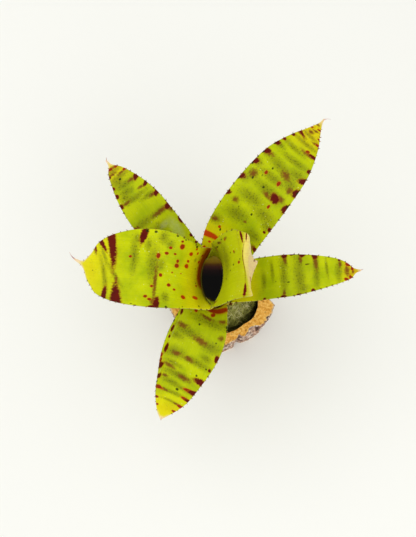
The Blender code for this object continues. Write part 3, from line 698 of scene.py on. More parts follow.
# %% [markdown]
# ## Leaf skin
# The skin is smooth and slightly waxy, with fine veins that run lengthwise and a freckling of tiny
# scales. The pigment layers are laid in the order in which they lie in the leaf: green ground,
# yellow ripening, olive haze, the brown and straw of old tips, then rust, ember and maroon. Each
# layer is a field from 0 to about 1 that is read off the mesh. Noise that is drawn out along the
# leaf is added before the step, because the pigment follows the veins, so the bands end in short
# streaks and dots as the real ones do.

# %% Noises of the skin
# The cells of the streaks and of the veins in millimetres, along and across the leaf
STREAKS = (3.2, 0.9)
VEINS = (60, 0.6)


def drawn_out(tree, skin, along, across):
    """Noise with cells of the given millimetres along and across the leaf."""
    stretched = add(tree, "Mapping", Vector=skin, Scale=(cells(along), cells(across), 1.0))
    return add(tree, "TexNoise", Vector=stretched, Scale=1.0, Detail=2.0, Roughness=0.6)


def leaf_noises(tree):
    """The fields that break up the skin's colours."""
    place = add(tree, "TexCoord").outputs["Object"]
    skin = add(tree, "UVMap", {"uv_map": "leaf"})
    freckle = add(tree, "TexVoronoi", NEAREST, Vector=place, Scale=cells(0.9524), Randomness=1.0)
    fleck = add(tree, "TexVoronoi", NEAREST, Vector=place, Scale=cells(1.923), Randomness=1.0)
    return {"drift": add(tree, "TexNoise", Vector=place, Scale=cells(11.11), Detail=3.0),
            "fray": add(tree, "TexNoise", Vector=place, Scale=cells(1), Detail=3.0, Roughness=0.7),
            "cloud": add(tree, "TexNoise", Vector=place, Scale=cells(3.03), Detail=3.0, Roughness=0.6),
            "streak": drawn_out(tree, skin, *STREAKS),
            "vein": drawn_out(tree, skin, *VEINS),
            "dot": add(tree, "ValToRGB", {"stops": ((0.16, 1.0), (0.42, 0.0))}, Fac=freckle),
            "fleck": add(tree, "ValToRGB", {"stops": ((0.06, 1.0), (0.13, 0.0))}, Fac=fleck)}


print("veins lie about", VEINS[1], "mm apart and run for about", VEINS[0], "mm")


# %% [markdown]
# A mark could be a painted image, but then its edge would be as coarse as the image. Here its mask
# is worked out in the shader at every point: the field of the mark, streaks and grain added, and a
# step between two values.

# %% Masks and layers
def frayed(tree, field, noises, amount, low, high, streaks=1.0):
    """A mark's mask: its field with streaks and grain added, then cut between low and high."""
    streak = add(tree, "Math", MINUS, _0=noises["streak"], _1=0.5)
    grain = add(tree, "Math", MINUS, _0=noises["fray"], _1=0.5)
    streak = add(tree, "Math", TIMES, _0=streak, _1=streaks * amount)
    grain = add(tree, "Math", TIMES, _0=grain, _1=amount)
    rough = add(tree, "Math", PLUS, _0=field, _1=add(tree, "Math", PLUS, _0=streak, _1=grain))
    return add(tree, "ValToRGB", {"ease": "EASE", "stops": ((low, 0.0), (high, 1.0))}, Fac=rough)


def lay_over(tree, colour, mask, strength, over):
    """Lays a colour over another with a mask at some strength."""
    share = add(tree, "Math", TIMES, _0=mask, _1=strength)
    return add(tree, "Mix", MIX, _0=share, _6=colour, _7=over)


# %% [markdown]
# ## Leaf material
# Neoregelia leaf tissue is a waxy cuticle over fleshy green tissue, which gives the eye a faint
# satin sheen and soft colour. The underside has more silvery scales and duller bands. Both sides
# share one recipe and differ in their ground colours, in how many scales they have and in how the
# part inside the cup is stained.

# %% Leaf colour
def leaf_ground(tree, noises, lay, greens, yellows):
    """The green and yellow of the leaf, with its painted shade and its haze of dark dots."""
    green = add(tree, "ValToRGB", {"stops": tuple(zip((0.3, 0.5, 0.7), greens))}, Fac=noises["drift"])
    # Painted shade: the ground is mixed towards a deeper green where a leaf lies in shade
    colour = lay_over(tree, green, lay["deep"], 0.75, "#90a804")
    yellow = add(tree, "ValToRGB", {"stops": tuple(zip((0.3, 0.7), yellows))}, Fac=noises["drift"])
    colour = add(tree, "Mix", MIX, _0=lay["ripe"], _6=colour, _7=yellow)
    veins = add(tree, "ValToRGB", {"stops": ((0.35, 0.0), (0.65, 1.0))}, Fac=noises["vein"])
    colour = lay_over(tree, colour, veins, 0.13, "#6f8304")

    haze = frayed(tree, lay["olive"], noises, 0.45, 0.12, 1.0, streaks=0.5)
    colour = lay_over(tree, colour, haze, 0.66, "#6c6c08")
    hazy = add(tree, "ValToRGB", {"stops": ((0.2, 0.0), (0.8, 1.0))}, Fac=lay["olive"])
    specks = add(tree, "Math", TIMES, _0=noises["dot"], _1=hazy)
    colour = lay_over(tree, colour, specks, 0.75, "#4c5208")
    cloudy = add(tree, "ValToRGB", {"stops": ((0.48, 0.0), (0.66, 1.0))}, Fac=noises["cloud"])
    thin_specks = add(tree, "Math", TIMES, _0=noises["dot"], _1=cloudy)
    return lay_over(tree, colour, thin_specks, 0.3, "#6a7208")


def leaf_bloom(tree, noises, lay, colour, scales):
    """Browned tips, pale scales with a painted sheen, and the straw of tissue that has dried."""
    streaky = add(tree, "ValToRGB", {"stops": ((0.35, 0.2), (0.62, 1.0))}, Fac=noises["streak"])
    browned = add(tree, "Math", TIMES, _0=lay["brown"], _1=streaky)
    colour = lay_over(tree, colour, browned, 0.75, "#a4580a")
    # Pale marks: partly a real bloom of pale scales, partly a painted sheen
    scale_sheen_field = add(tree, "ValToRGB", {"ease": "EASE", "stops": ((0.25, 0.0), (0.8, 1.0))}, Fac=lay["frost"])
    grainy = add(tree, "ValToRGB", {"stops": ((0.3, 0.35), (0.65, 1.0))}, Fac=noises["fray"])
    frost = add(tree, "Math", TIMES, _0=scale_sheen_field, _1=grainy)
    colour = lay_over(tree, colour, frost, 0.25, "#dfe3b0")
    scaly = add(tree, "ValToRGB", {"stops": ((0.5, 0.0), (0.7, 1.0))}, Fac=noises["fray"])
    colour = lay_over(tree, colour, scaly, scales, "#c9cfa8")
    drifted = add(tree, "ValToRGB", {"stops": ((0.5, 0.0), (0.6, 1.0))}, Fac=noises["drift"])
    flecks = add(tree, "Math", TIMES, _0=noises["fleck"], _1=drifted)
    colour = lay_over(tree, colour, flecks, 0.55, "#e6eab4")
    straw = add(tree, "Mix", MIX, _0=noises["streak"], _6="#f6e8b4", _7="#ecc2a2")
    return lay_over(tree, colour, lay["dry"], 1.0, straw)


def leaf_marks(tree, noises, lay, colour):
    """The rust, ember, maroon and ink marks, each dense one over its own thin glow."""
    rust = frayed(tree, lay["rust"], noises, 0.75, 0.34, 0.86, streaks=0.4)
    umber = add(tree, "Mix", MIX, _0=noises["cloud"], _6="#5a2010", _7="#8a4a14")
    colour = lay_over(tree, colour, rust, 0.88, umber)

    glow = frayed(tree, lay["ember"], noises, 0.22, 0.30, 0.52)
    colour = lay_over(tree, colour, glow, 0.6, "#cf8206")
    ember = frayed(tree, lay["ember"], noises, 0.22, 0.44, 0.60)
    brick = add(tree, "Mix", MIX, _0=noises["cloud"], _6="#761406", _7="#a42c08")
    brick = add(tree, "Mix", MIX, _0=lay["blush"], _6=brick, _7="#cc3e08")
    colour = lay_over(tree, colour, ember, 0.97, brick)

    glow = frayed(tree, lay["maroon"], noises, 0.4, 0.30, 0.50)
    colour = lay_over(tree, colour, glow, 0.5, "#a86a0a")
    dense = frayed(tree, lay["maroon"], noises, 0.42, 0.43, 0.60)
    wine = add(tree, "Mix", MIX, _0=noises["cloud"], _6="#460c09", _7="#72190a")
    half_ripe = add(tree, "Math", TIMES, _0=lay["ripe"], _1=0.5)
    wine = add(tree, "Mix", MIX, _0=half_ripe, _6=wine, _7="#7c1e08")
    colour = lay_over(tree, colour, dense, 1.0, wine)

    ink = frayed(tree, lay["ink"], noises, 0.2, 0.42, 0.62)
    return lay_over(tree, colour, ink, 0.9, "#222a06")


# %% Leaf material
FIELDS = (*KINDS, "ripe", "brown", "dry", "stain", "blush", "deep")


def leaf_skin(name, display, greens, yellows, scales, stains):
    """One side of the leaf: its layers of colour, a stain that multiplies them, and its fine ribs."""
    material, tree, shader = new_material(name, display)
    noises = leaf_noises(tree)
    lay = {field: add(tree, "Attribute", {"attribute_name": field}).outputs["Fac"] for field in FIELDS}
    colour = leaf_ground(tree, noises, lay, greens, yellows)
    colour = leaf_bloom(tree, noises, lay, colour, scales)
    colour = leaf_marks(tree, noises, lay, colour)

    uneven = add(tree, "Math", MINUS, _0=noises["streak"], _1=0.5)
    uneven = add(tree, "Math", TIMES, _0=uneven, _1=0.25)
    reach = add(tree, "Math", PLUS, _0=lay["stain"], _1=uneven)
    stain = add(tree, "ValToRGB", {"stops": stains}, Fac=reach)
    colour = add(tree, "Mix", TINT, _0=1.0, _6=colour, _7=stain)

    ribs = add(tree, "Bump", Strength=0.3, Distance=0.12 * MM, Height=noises["vein"])
    pores = add(tree, "Bump", Strength=0.2, Distance=0.1 * MM, Height=noises["fray"], Normal=ribs)
    satin = add(tree, "ValToRGB", {"stops": ((0.3, 0.36), (0.7, 0.48))}, Fac=noises["fray"])
    link(tree, shader, Base_Color=colour, Roughness=satin, Normal=pores, Specular_IOR_Level=0.05,
         Subsurface_Weight=0.08, Subsurface_Radius=(1.0, 0.9, 0.1), Subsurface_Scale=1 * MM)
    return material


WINE = ((0.05, "#ffffff"), (0.2, "#eca424"), (0.36, "#c05412"), (0.7, "#cc6028"), (0.95, "#d0703c"))
PAPERY = ((0.05, "#ffffff"), (0.5, "#f2e8c8"), (0.95, "#dcc08c"))
LEAF_TOP = leaf_skin("waxy leaf upper skin", "#b4bf0c", ("#a2b404", "#bcc804", "#ced606"),
                     ("#dece04", "#ebe406"), 0.03, WINE)
LEAF_UNDER = leaf_skin("scaly leaf underside", "#a2ac3c", ("#98a626", "#a6b22e", "#b4be38"),
                       ("#bcbc54", "#cccc68"), 0.3, PAPERY)
print("nodes in the leaf's upper skin:", len(LEAF_TOP.node_tree.nodes))


# %% [markdown]
# ## Spines and dry tips
# The marginal spines are hard, horn-like tissue, dark red at the root and straw-coloured at the
# point. The dead leaf tips are dry, rolled threads of pinkish straw. Both are too small for more
# than a mottled colour, so one noise each is enough.

# %% Spine and thread material
def mottled(name, display, size, dark, pale, roughness, **links):
    """A plain dry tissue with two tones in patches of this many millimetres."""
    material, tree, shader = new_material(name, display)
    place = add(tree, "TexCoord").outputs["Object"]
    grain = add(tree, "TexNoise", Vector=place, Scale=cells(size), Detail=2.0)
    tones = add(tree, "ValToRGB", {"stops": (dark, pale)}, Fac=grain)
    link(tree, shader, Base_Color=tones, Roughness=roughness, **links)
    return material


SPINE_HORN = mottled("horny spine tissue", "#7a3b12", 2, (0.35, "#5c2410"), (0.6, "#a8741c"), 0.5,
                     Specular_IOR_Level=0.2)
DRY_THREAD = mottled("dry leaf thread", "#c98a78", 1.111, (0.35, "#a8584c"), (0.65, "#e6b9a6"), 0.7)
print("materials so far:", [material.name for material in bpy.data.materials])


# %% [markdown]
# ## Leaf meshes
# Each leaf is one grid laid on its formula, fine enough for the smallest spots, and given the
# thickness of the real leaf by a Solidify modifier that thins towards the margins and puts the
# scaly skin underneath. The attributes carry the markings. The spines are little four-sided hooks
# along both margins that lean forward, and each tip ends in a dry thread.

# %% Sizes of blades, spines and threads
# The usual spacing of a blade's rows in millimetres, and the cells across it
USUAL_STEP = 0.6
ALONG_STEP = {"leaf_heart": 0.35}
ACROSS_CELLS = 56
# The heart leaf turns over sharply, so many of its rows lie at its crest: shares of rows, and of length
ROW_SPREAD = {"leaf_heart": ((0, 0.5, 0.85, 1), (0, 0.77, 0.82, 1))}
EVEN_ROWS = ((0, 1), (0, 1))
LEAF_THICKNESS = 1.0 * MM
# The least share of its thickness that a blade keeps at its margins, the share that it loses at its
# tip, and how long that thin tip is
THINNEST = 0.3
TIP_THINNING = 0.6
THIN_TIP = 14
SPINE_STEP = 4.0
SPINE_LENGTH = 0.75
SPINE_ROOT = 0.3
SPINE_TIP = 0.05
SPINE_LEAN = 0.7
# Spines start this far before the leaf leaves the cup and end this far before its tip
SPINES_BEFORE_MOUTH = 8
SPINES_BEFORE_TIP = 5
# A spine at least this big has a dark foot: half its length and width on the skin, and its slant
BIG_SPINE = 0.85
DARK_FOOT = (0.6, 0.5, 0)
THREAD_ROOT = 0.32
# The length of each thread in millimetres, and how far it bends aside as a share of that
THREADS = {"leaf_left": (5.4, -0.3), "leaf_upper_right": (2.4, -0.8), "leaf_upper_left": (1.6, -0.5),
           "leaf_right": (1.4, 0.2), "leaf_lower": (1.2, 0.2), "leaf_heart": (2.2, 0.1)}


def spine_places(name, shape):
    """The margin, the distance and the size of each spine, at uneven steps."""
    draw = random.Random(name)
    places = []
    for hand in (-1, 1):
        distance = shape.leave - SPINES_BEFORE_MOUTH + draw.uniform(0, SPINE_STEP)
        while distance < shape.length - SPINES_BEFORE_TIP:
            places.append((hand, distance, draw.uniform(0.6, 1.1)))
            distance += SPINE_STEP * draw.uniform(0.6, 1.4)
    return places


for name, shape in SHAPES.items():
    print(name, "has", len(spine_places(name, shape)), "spines")


# %% [markdown]
# The grid is laid flat first. Then every vertex is moved to its place on the leaf, and the same two
# coordinates give the texture map, in metres, and all the fields that the skin's colours are read
# from.

# %% Make a blade
def lay_blade(name, shape):
    """The leaf's grid on its surface, and how far along and how far across each vertex is."""
    rows = round(shape.length / ALONG_STEP.get(name, USUAL_STEP))
    bm = bmesh.new()
    uv_layer = bm.loops.layers.uv.new("leaf")
    bmesh.ops.create_grid(bm, x_segments=rows, y_segments=ACROSS_CELLS, size=1)
    distance = np.array([(vert.co.x + 1) / 2 for vert in bm.verts])
    distance = np.interp(distance, *ROW_SPREAD.get(name, EVEN_ROWS)) * shape.length
    side = np.array([vert.co.y for vert in bm.verts])
    for vert, place in zip(bm.verts, shape.place(distance, side)):
        vert.co = Vector(place)
    width = shape.half_width(distance)
    for face in bm.faces:
        for loop in face.loops:
            i = loop.vert.index
            loop[uv_layer].uv = (distance[i] * MM, side[i] * width[i] * MM)
    return bm, distance, side


def leaf_fields(name, shape, distance, side):
    """Every field of the skin: the six kinds of mark and the six of ripeness."""
    feet = [(at, hand, *DARK_FOOT) for hand, at, size in spine_places(name, shape) if size > BIG_SPINE]
    marks = {**MARKS[name], "ink": (*MARKS[name]["ink"], *feet)}
    fields = {kind: mark_field(shape, marks[kind], distance, side) for kind in KINDS}
    return {**fields, **ripeness(name, shape, distance, side)}


def thicken(piece, shape, distance, side):
    """Gives a blade its thickness, less at its margins and its tip, with the scaly skin below."""
    share = np.clip(1.08 - np.abs(side) ** 6 * 0.75, THINNEST, 1)
    share = share * (1 - TIP_THINNING * smooth_step(shape.length - THIN_TIP, shape.length, distance))
    share = share.round(2)
    group = piece.vertex_groups.new(name="thickness")
    for level in np.unique(share):
        group.add([int(i) for i in np.nonzero(share == level)[0]], float(level), "REPLACE")
    flesh = piece.modifiers.new("flesh", "SOLIDIFY")
    flesh.thickness = LEAF_THICKNESS
    flesh.offset = 0
    flesh.vertex_group = "thickness"
    flesh.material_offset = 1
    flesh.material_offset_rim = 1


def make_leaf(name, shape):
    """One blade with its fields, its two skins and its thickness."""
    bm, distance, side = lay_blade(name, shape)
    for kind, values in leaf_fields(name, shape, distance, side).items():
        layer = bm.verts.layers.float.new(kind)
        for vert, value in zip(bm.verts, values):
            vert[layer] = float(value)
    piece = finish_piece(name + "_blade", bm, [LEAF_TOP, LEAF_UNDER], (name,), recalc=False)
    thicken(piece, shape, distance, side)


# %% [markdown]
# A spine and a thread are the same thing at two sizes: a four-sided ring drawn out in three steps
# that narrow evenly. Making them by extrusion keeps each one a closed body.

# %% Make spines and threads, and all six leaves
# Where a hook's rings lie, as shares of its length
HOOK_STEPS = (0.4, 0.72, 1.0)
# A hook starts this far inside the leaf, and its root is drawn out along the margin by this much
HOOK_SINK = 0.35 * MM
ROOT_DRAW = 1.4


def draw_out(part, edges):
    """Extrudes a ring of edges in place, and returns the new ring's vertices and edges."""
    grown = bmesh.ops.extrude_edge_only(part, edges=edges)["geom"]
    ring = [item for item in grown if isinstance(item, bmesh.types.BMVert)]
    return ring, [item for item in grown if isinstance(item, bmesh.types.BMEdge)]


def add_hook(bm, root, out, forward, length, root_radius, bend):
    """A small hook: a four-sided root ring drawn out and bent forward in three steps."""
    part = bmesh.new()
    ring = bmesh.ops.create_circle(part, segments=4, radius=root_radius * MM)["verts"]
    up = forward.cross(out).normalized()
    for vert in ring:
        vert.co = root - out * HOOK_SINK + forward * vert.co.x * ROOT_DRAW + up * vert.co.y
    edges = part.edges[:]
    bmesh.ops.contextual_create(part, geom=edges)
    shrink = (SPINE_TIP / root_radius) ** (1 / len(HOOK_STEPS))
    for step in HOOK_STEPS:
        ring, edges = draw_out(part, edges)
        middle = sum((vert.co for vert in ring), Vector()) / len(ring)
        goal = root + (out * step + forward * bend * step * step) * length * MM
        for vert in ring:
            vert.co = goal + (vert.co - middle) * shrink
    bmesh.ops.contextual_create(part, geom=edges)
    pour(bm, part)


def square_to(direction, other):
    """The part of a direction that stands square to another one, at length 1."""
    return (direction - direction.dot(other) * other).normalized()


def make_spines(name, shape):
    """The hooks along both margins of a leaf."""
    bm = bmesh.new()
    for hand, distance, size in spine_places(name, shape):
        along = np.array([distance, distance + 0.5, distance])
        edge = shape.place(along, np.array([hand, hand, 0.96 * hand]))
        forward = Vector(edge[1] - edge[0]).normalized()
        out = square_to(Vector(edge[0] - edge[2]), forward)
        add_hook(bm, Vector(edge[0]), out, forward, SPINE_LENGTH * size, SPINE_ROOT, SPINE_LEAN)
    finish_piece(name + "_spines", bm, SPINE_HORN, ())


def make_thread(name, shape):
    """The dry thread at the tip of a leaf, which starts 1 mm inside it."""
    length, bend = THREADS[name]
    along = np.array([shape.length, shape.length - 2, shape.length])
    ends = shape.place(along, np.array([0.0, 0, 0.9]))
    onward = Vector(ends[0] - ends[1]).normalized()
    sideways = square_to(Vector(ends[2] - ends[0]), onward)
    bm = bmesh.new()
    add_hook(bm, Vector(ends[0]) - onward * MM, onward, sideways, length + 1, THREAD_ROOT, bend)
    finish_piece(name + "_thread", bm, DRY_THREAD, ())


for name, shape in SHAPES.items():
    make_leaf(name, shape)
    make_spines(name, shape)
    make_thread(name, shape)


# %% [markdown]
# ## Cork branch
# The holder is a piece of cork oak branch, sawn off at both ends and bored out. The sawn face is
# warm ochre with short dark pores, and the outside is old bark: grey-pink plates with deep rusty
# furrows between them. The tube is one profile spun round, and every point of its outer side is
# then moved to the bark's radius at its angle and height, the same waves, furrows and broken
# patches as in the construction model, plus finer cracks.

# %% Cork sizes
TUBE_HEIGHT = 50 * MM
TUBE_RADIUS = 29.4 * MM
HOLE_RADIUS = 22 * MM
FOOT_FLARE = -0.8 * MM
# Waves are lobes, depth and phase. Furrows and chips are angle and half width in degrees, and depth.
BARK_WAVES = ((3, 0.9 * MM, 0.4), (5, 0.7 * MM, 2.0), (9, 0.5 * MM, 1.1))
WAVE_LEAN = 0.5
FURROW_WANDER = 4
FURROW_TURNS = 3
FURROWS = ((-66, 6, 2.2 * MM), (-8, 8, 2.2 * MM), (38, 9, 3.0 * MM), (84, 8, 2.6 * MM),
           (129, 9, 3.2 * MM), (176, 8, 2.8 * MM), (222, 9, 3.2 * MM), (262, 8, 2.4 * MM))
CHIPS = ((-48, 16, 4.2 * MM), (62, 18, 3.2 * MM), (150, 17, 3.4 * MM), (241, 15, 2.6 * MM))
CHIP_START = 0.8
FLAKE_STEPS = 2.2
# The relief's depths in millimetres, and the height of noise from which it cracks
CRACK_DEPTH = 2.2
CRACK_FROM = 1.3
FLAKE_HEIGHT = 0.7
GRIT_HEIGHT = 0.35
# The bore is uneven, and the sawn top shows the cork's pores
BORE_SWELL = 1.7 * MM
BORE_GRIT = 0.3 * MM
PORE_DEPTH = 0.22 * MM
PORES_PER_METRE = 420
CORK_TURNS = 380
WALL_CELLS = 60
FACE_CELLS = 12


def window(angle, centre, half_width):
    """1 at the centre of an angular window, falling evenly to 0 at its ends. All in degrees."""
    away = abs((angle - centre + 180) % 360 - 180)
    return float(smooth_step(half_width, 0, away))


def bark_radius(angle, level):
    """The cork's outer radius at an angle and at a level from 0 at the foot to 1 at the cut rim."""
    radius = TUBE_RADIUS + FOOT_FLARE * (1 - level)
    for lobes, depth, phase in BARK_WAVES:
        radius += depth * cos(lobes * angle + phase + WAVE_LEAN * level)
    degrees_round = degrees(angle)
    for centre, half_width, depth in FURROWS:
        wander = FURROW_WANDER * sin(FURROW_TURNS * level + centre)
        radius -= depth * window(degrees_round, centre + wander, half_width)
    broken = float(smooth_step(CHIP_START, 1, level))
    for centre, half_width, depth in CHIPS:
        radius -= depth * broken * window(degrees_round, centre, half_width)
    return radius


RIM = [bark_radius(radians(turn), 1) / MM for turn in range(0, 360, 15)]
print("the rim's radius runs from", round(min(RIM), 1), "to", round(max(RIM), 1), "mm")


# %% [markdown]
# Plates, flakes and grit are three noises at falling sizes. They are read on a circle, because
# noise that is read at the angle itself would leave a seam where the circle closes. A bigger circle
# holds more cells, so the cracks lie about 6 mm apart round the tube, the flakes about 3 mm and the
# grit about 1 mm, and all of them are drawn out upwards.

# %% Cork tube
def on_circle(angle, radius, height):
    """Where noise is read for a point of the tube."""
    return Vector((cos(angle) * radius, sin(angle) * radius, height))


def bark_relief(angle, height):
    """Fine relief of the bark in millimetres: upright cracks between plates, and their rough skin."""
    up = height / MM
    crack = noise.ridged_multi_fractal(on_circle(angle, 4.6, up * 0.06), 0.9, 2.1, 4, 1.0, 2.0)
    flake = noise.fractal(on_circle(angle, 9, up * 0.13 + 7), 0.8, 2.0, 2)
    grit = noise.fractal(on_circle(angle, 30, up * 0.6), 0.8, 2.0, 3)
    steps = FLAKE_HEIGHT * round(FLAKE_STEPS * flake) / FLAKE_STEPS
    return -CRACK_DEPTH * max(0.0, crack - CRACK_FROM) + steps + GRIT_HEIGHT * grit


def cork_outline():
    """The wall's section, wound once: how far out from the bore and how high, both from 0 to 1."""
    wall = [(1.0, level) for level in np.linspace(0, 1, WALL_CELLS + 1)]
    top = [(share, 1.0) for share in np.linspace(1, 0, FACE_CELLS + 1)[1:]]
    bore = [(0.0, level) for level in np.linspace(1, 0, WALL_CELLS // 3 + 1)[1:]]
    foot = [(share, 0.0) for share in np.linspace(0, 1, FACE_CELLS // 2 + 1)[1:-1]]
    return wall + top + bore + foot


def spin(points, steps, closed):
    """A bmesh of a line of radius and height points spun once round the Z axis."""
    bm = bmesh.new()
    line = [bm.verts.new((radius, 0, height)) for radius, height in points]
    pairs = zip(line, line[1:] + line[:1]) if closed else zip(line, line[1:])
    edges = [bm.edges.new(pair) for pair in pairs]
    bmesh.ops.spin(bm, geom=line + edges, cent=(0, 0, 0), axis=(0, 0, 1), angle=2 * pi, steps=steps,
                   use_merge=True)
    return bm


def make_cork():
    """The section spun round, then each vertex moved onto the bark, the bore or a sawn face."""
    bm = spin([(1 + share, level) for share, level in cork_outline()], CORK_TURNS, True)
    cut = bm.verts.layers.float.new("cut")
    hollow = bm.verts.layers.float.new("hollow")
    deep = bm.verts.layers.float.new("deep")
    for vert in bm.verts:
        angle = atan2(vert.co.y, vert.co.x)
        share = vert.co.xy.length - 1
        level = vert.co.z
        height = level * TUBE_HEIGHT
        on_bore, on_top, on_foot = share < 0.001, level > 0.999, level < 0.001
        relief = bark_relief(angle, height)
        outer = bark_radius(angle, level) + relief * float(smooth_step(0.0, 0.02, level)) * MM
        radius = HOLE_RADIUS + (outer - HOLE_RADIUS) * share
        if on_bore:
            radius += BORE_SWELL * noise.noise(on_circle(angle, 2.6, level * 2))
            radius += BORE_GRIT * noise.noise(on_circle(angle, 9, level * 14))
        if on_top:
            pores = noise.fractal(on_circle(angle, radius, 0) * PORES_PER_METRE, 0.9, 2.0, 4)
            height += PORE_DEPTH * pores * (1 if 0.02 < share < 0.98 else 0.4)
        vert.co = on_circle(angle, radius, height)
        vert[cut] = 1 - float(smooth_step(0.9, 0.99, share)) if on_top else float(on_foot)
        # Painted shade: the bore below the rim is marked to be painted dark
        vert[hollow] = float(on_bore and level < 0.97)
        vert[deep] = float(np.clip((0.2 - relief) / 2, 0, 1)) * share
    return bm


# %% [markdown]
# Cork is made of tiny air cells, so the sawn face scatters light like felt and shines nowhere. Its
# pores are short dark dashes. The bark's plates are bleached, and the cracks between them keep the
# fresh red-brown of the inner cork, darkened further by painted shade in their depth.

# %% Cork material
# Raw cork oak bark: sawn ochre cork inside, weathered grey-pink plates outside
CORK, tree, shader = new_material("raw cork bark", "#d79c4e")
place = add(tree, "TexCoord").outputs["Object"]
sawn = add(tree, "Attribute", {"attribute_name": "cut"}).outputs["Fac"]
bore_shade = add(tree, "Attribute", {"attribute_name": "hollow"}).outputs["Fac"]
crack = add(tree, "Attribute", {"attribute_name": "deep"}).outputs["Fac"]

# The sawn face: grain of about 1.6 mm, dark pores 2 to 3 mm apart, and a pale outer edge
grain = add(tree, "TexNoise", Vector=place, Scale=cells(1.613), Detail=5.0, Roughness=0.65)
tones = ((0.3, "#b06e20"), (0.46, "#eca63e"), (0.6, "#fdca6a"))
fresh = add(tree, "ValToRGB", {"stops": tones}, Fac=grain)
drawn = add(tree, "Mapping", Vector=place, Scale=(1.0, 1.6, 0.5))
pore = add(tree, "TexVoronoi", NEAREST, Vector=drawn, Scale=cells(3.03))
pore_dot = add(tree, "ValToRGB", {"stops": ((0.1, 1.0), (0.24, 0.0))}, Fac=pore)
fresh = lay_over(tree, fresh, pore_dot, 0.6, "#8a4c1c")
edge = ((0.1, 0.0), (0.4, 1.0), (0.7, 1.0), (0.98, 0.0))
pale_edge = add(tree, "ValToRGB", {"stops": edge}, Fac=sawn)
fresh = lay_over(tree, fresh, pale_edge, 0.5, "#f8e2b8")

# The bark: blotches of about 7 mm, upright fibres of about 1.3 mm, and dark rifts, the inner
# cork's red-brown darkened by painted shade
blotch = add(tree, "TexNoise", Vector=place, Scale=cells(6.667), Detail=4.0, Roughness=0.6)
tones = ((0.36, "#7a5240"), (0.47, "#bc947c"), (0.6, "#eedfce"))
plate = add(tree, "ValToRGB", {"stops": tones}, Fac=blotch)
upright = add(tree, "Mapping", Vector=place, Scale=(1.0, 1.0, 0.3))
fibre = add(tree, "TexNoise", Vector=upright, Scale=cells(1.25), Detail=4.0, Roughness=0.65)
fibre = add(tree, "ValToRGB", {"stops": ((0.38, "#5a3626"), (0.52, "#ffffff"))}, Fac=fibre)
plate = add(tree, "Mix", TINT, _0=0.8, _6=plate, _7=fibre)
# Painted shade darkens the cracks, over the inner cork's red-brown
rift_and_shade = add(tree, "ValToRGB", {"ease": "EASE", "stops": ((0.12, 0.0), (0.4, 1.0))}, Fac=crack)
plate = lay_over(tree, plate, rift_and_shade, 0.9, "#40200f")

colour = add(tree, "Mix", MIX, _0=sawn, _6=plate, _7=fresh)
# Painted shade: the bore is painted dark brown inside the tube
colour = add(tree, "Mix", MIX, _0=bore_shade, _6=colour, _7="#4b3220")
rough = add(tree, "Bump", Strength=0.55, Distance=0.4 * MM, Height=grain)
link(tree, shader, Base_Color=colour, Roughness=0.88, Normal=rough)

finish_piece("cork_branch", make_cork(), CORK, ("cork_tube",), sharp=50)


# %% [markdown]
# ## Moss
# The tube is packed with grey-green moss that rises in a mound round the stem. The mound itself is
# a lumpy spun body, and its pile is made of many short curved strands, each a three-sided tapered
# thread laid along the surface and arched a little in its middle.

# %% Moss mound
STEM_RADIUS = 4.6 * MM
STEM_FOOT = 30 * MM
CLEARANCE = 0.3 * MM
MOSS_EDGE_HEIGHT = 40 * MM
MOSS_LUMP = 1.1 * MM
MOSS_TURNS = 120
MOSS_RINGS = 22
MOSS_PROFILE = smooth_line(((21.7, 40), (19.4, 42.1), (16.5, 44.2), (13, 45.5), (9.5, 46), (4.9, 46)), 5)
MOSS_EDGE = HOLE_RADIUS - CLEARANCE
LUMPS_PER_METRE = 260


def mound_height(x, y):
    """Height of the moss surface, from its smooth section and its lumps of about 4 mm."""
    from_stem = Vector((x - AXIS_X, y - AXIS_Y)).length
    from_wall = MOSS_EDGE - Vector((x, y)).length
    across = from_stem / (from_stem + max(from_wall, 0.0))
    section = np.interp(across * (MOSS_EDGE - STEM_RADIUS) / MM + STEM_RADIUS / MM,
                        MOSS_PROFILE[::-1, 0], MOSS_PROFILE[::-1, 1])
    lump = noise.fractal(Vector((x, y, 0)) * LUMPS_PER_METRE, 0.8, 2.0, 3)
    return section * MM + MOSS_LUMP * (lump - 0.3)


def make_mound():
    """A disc with a socket for the stem, spun round, leaned to the stem and raised to the mound."""
    socket = STEM_RADIUS + CLEARANCE
    floor_height = STEM_FOOT - CLEARANCE
    outline = [(0, 0), (MOSS_EDGE, 0), (MOSS_EDGE, 0.5 * MOSS_EDGE_HEIGHT)]
    outline += [(MOSS_EDGE, MOSS_EDGE_HEIGHT - 1 * MM)]
    outline += [(radius, MOSS_EDGE_HEIGHT) for radius in np.linspace(MOSS_EDGE, socket, MOSS_RINGS)[1:]]
    outline += [(socket, floor_height), (0, floor_height)]
    bm = spin(outline, MOSS_TURNS, False)
    bmesh.ops.remove_doubles(bm, verts=bm.verts[:], dist=0.01 * MM)
    for vert in bm.verts:
        radius = vert.co.xy.length
        if vert.co.z > 0.99 * floor_height:
            lean = float(smooth_step(0.98 * MOSS_EDGE, socket, radius))
            vert.co.x += AXIS_X * lean
            vert.co.y += AXIS_Y * lean
        if abs(vert.co.z - MOSS_EDGE_HEIGHT) < 0.1 * MM:
            vert.co.z = mound_height(vert.co.x, vert.co.y)
    return bm


print("the moss is", round(mound_height(AXIS_X + 6 * MM, AXIS_Y) / MM, 1), "mm high beside the stem")


# %% [markdown]
# Moss looks soft because its threads are thin and matt and shade one another. One material serves
# the mound and the strands. A tone on each vertex is painted shade and light: it tells how deep in
# the shade a thread lies, dark at the bottom and pale at the top.

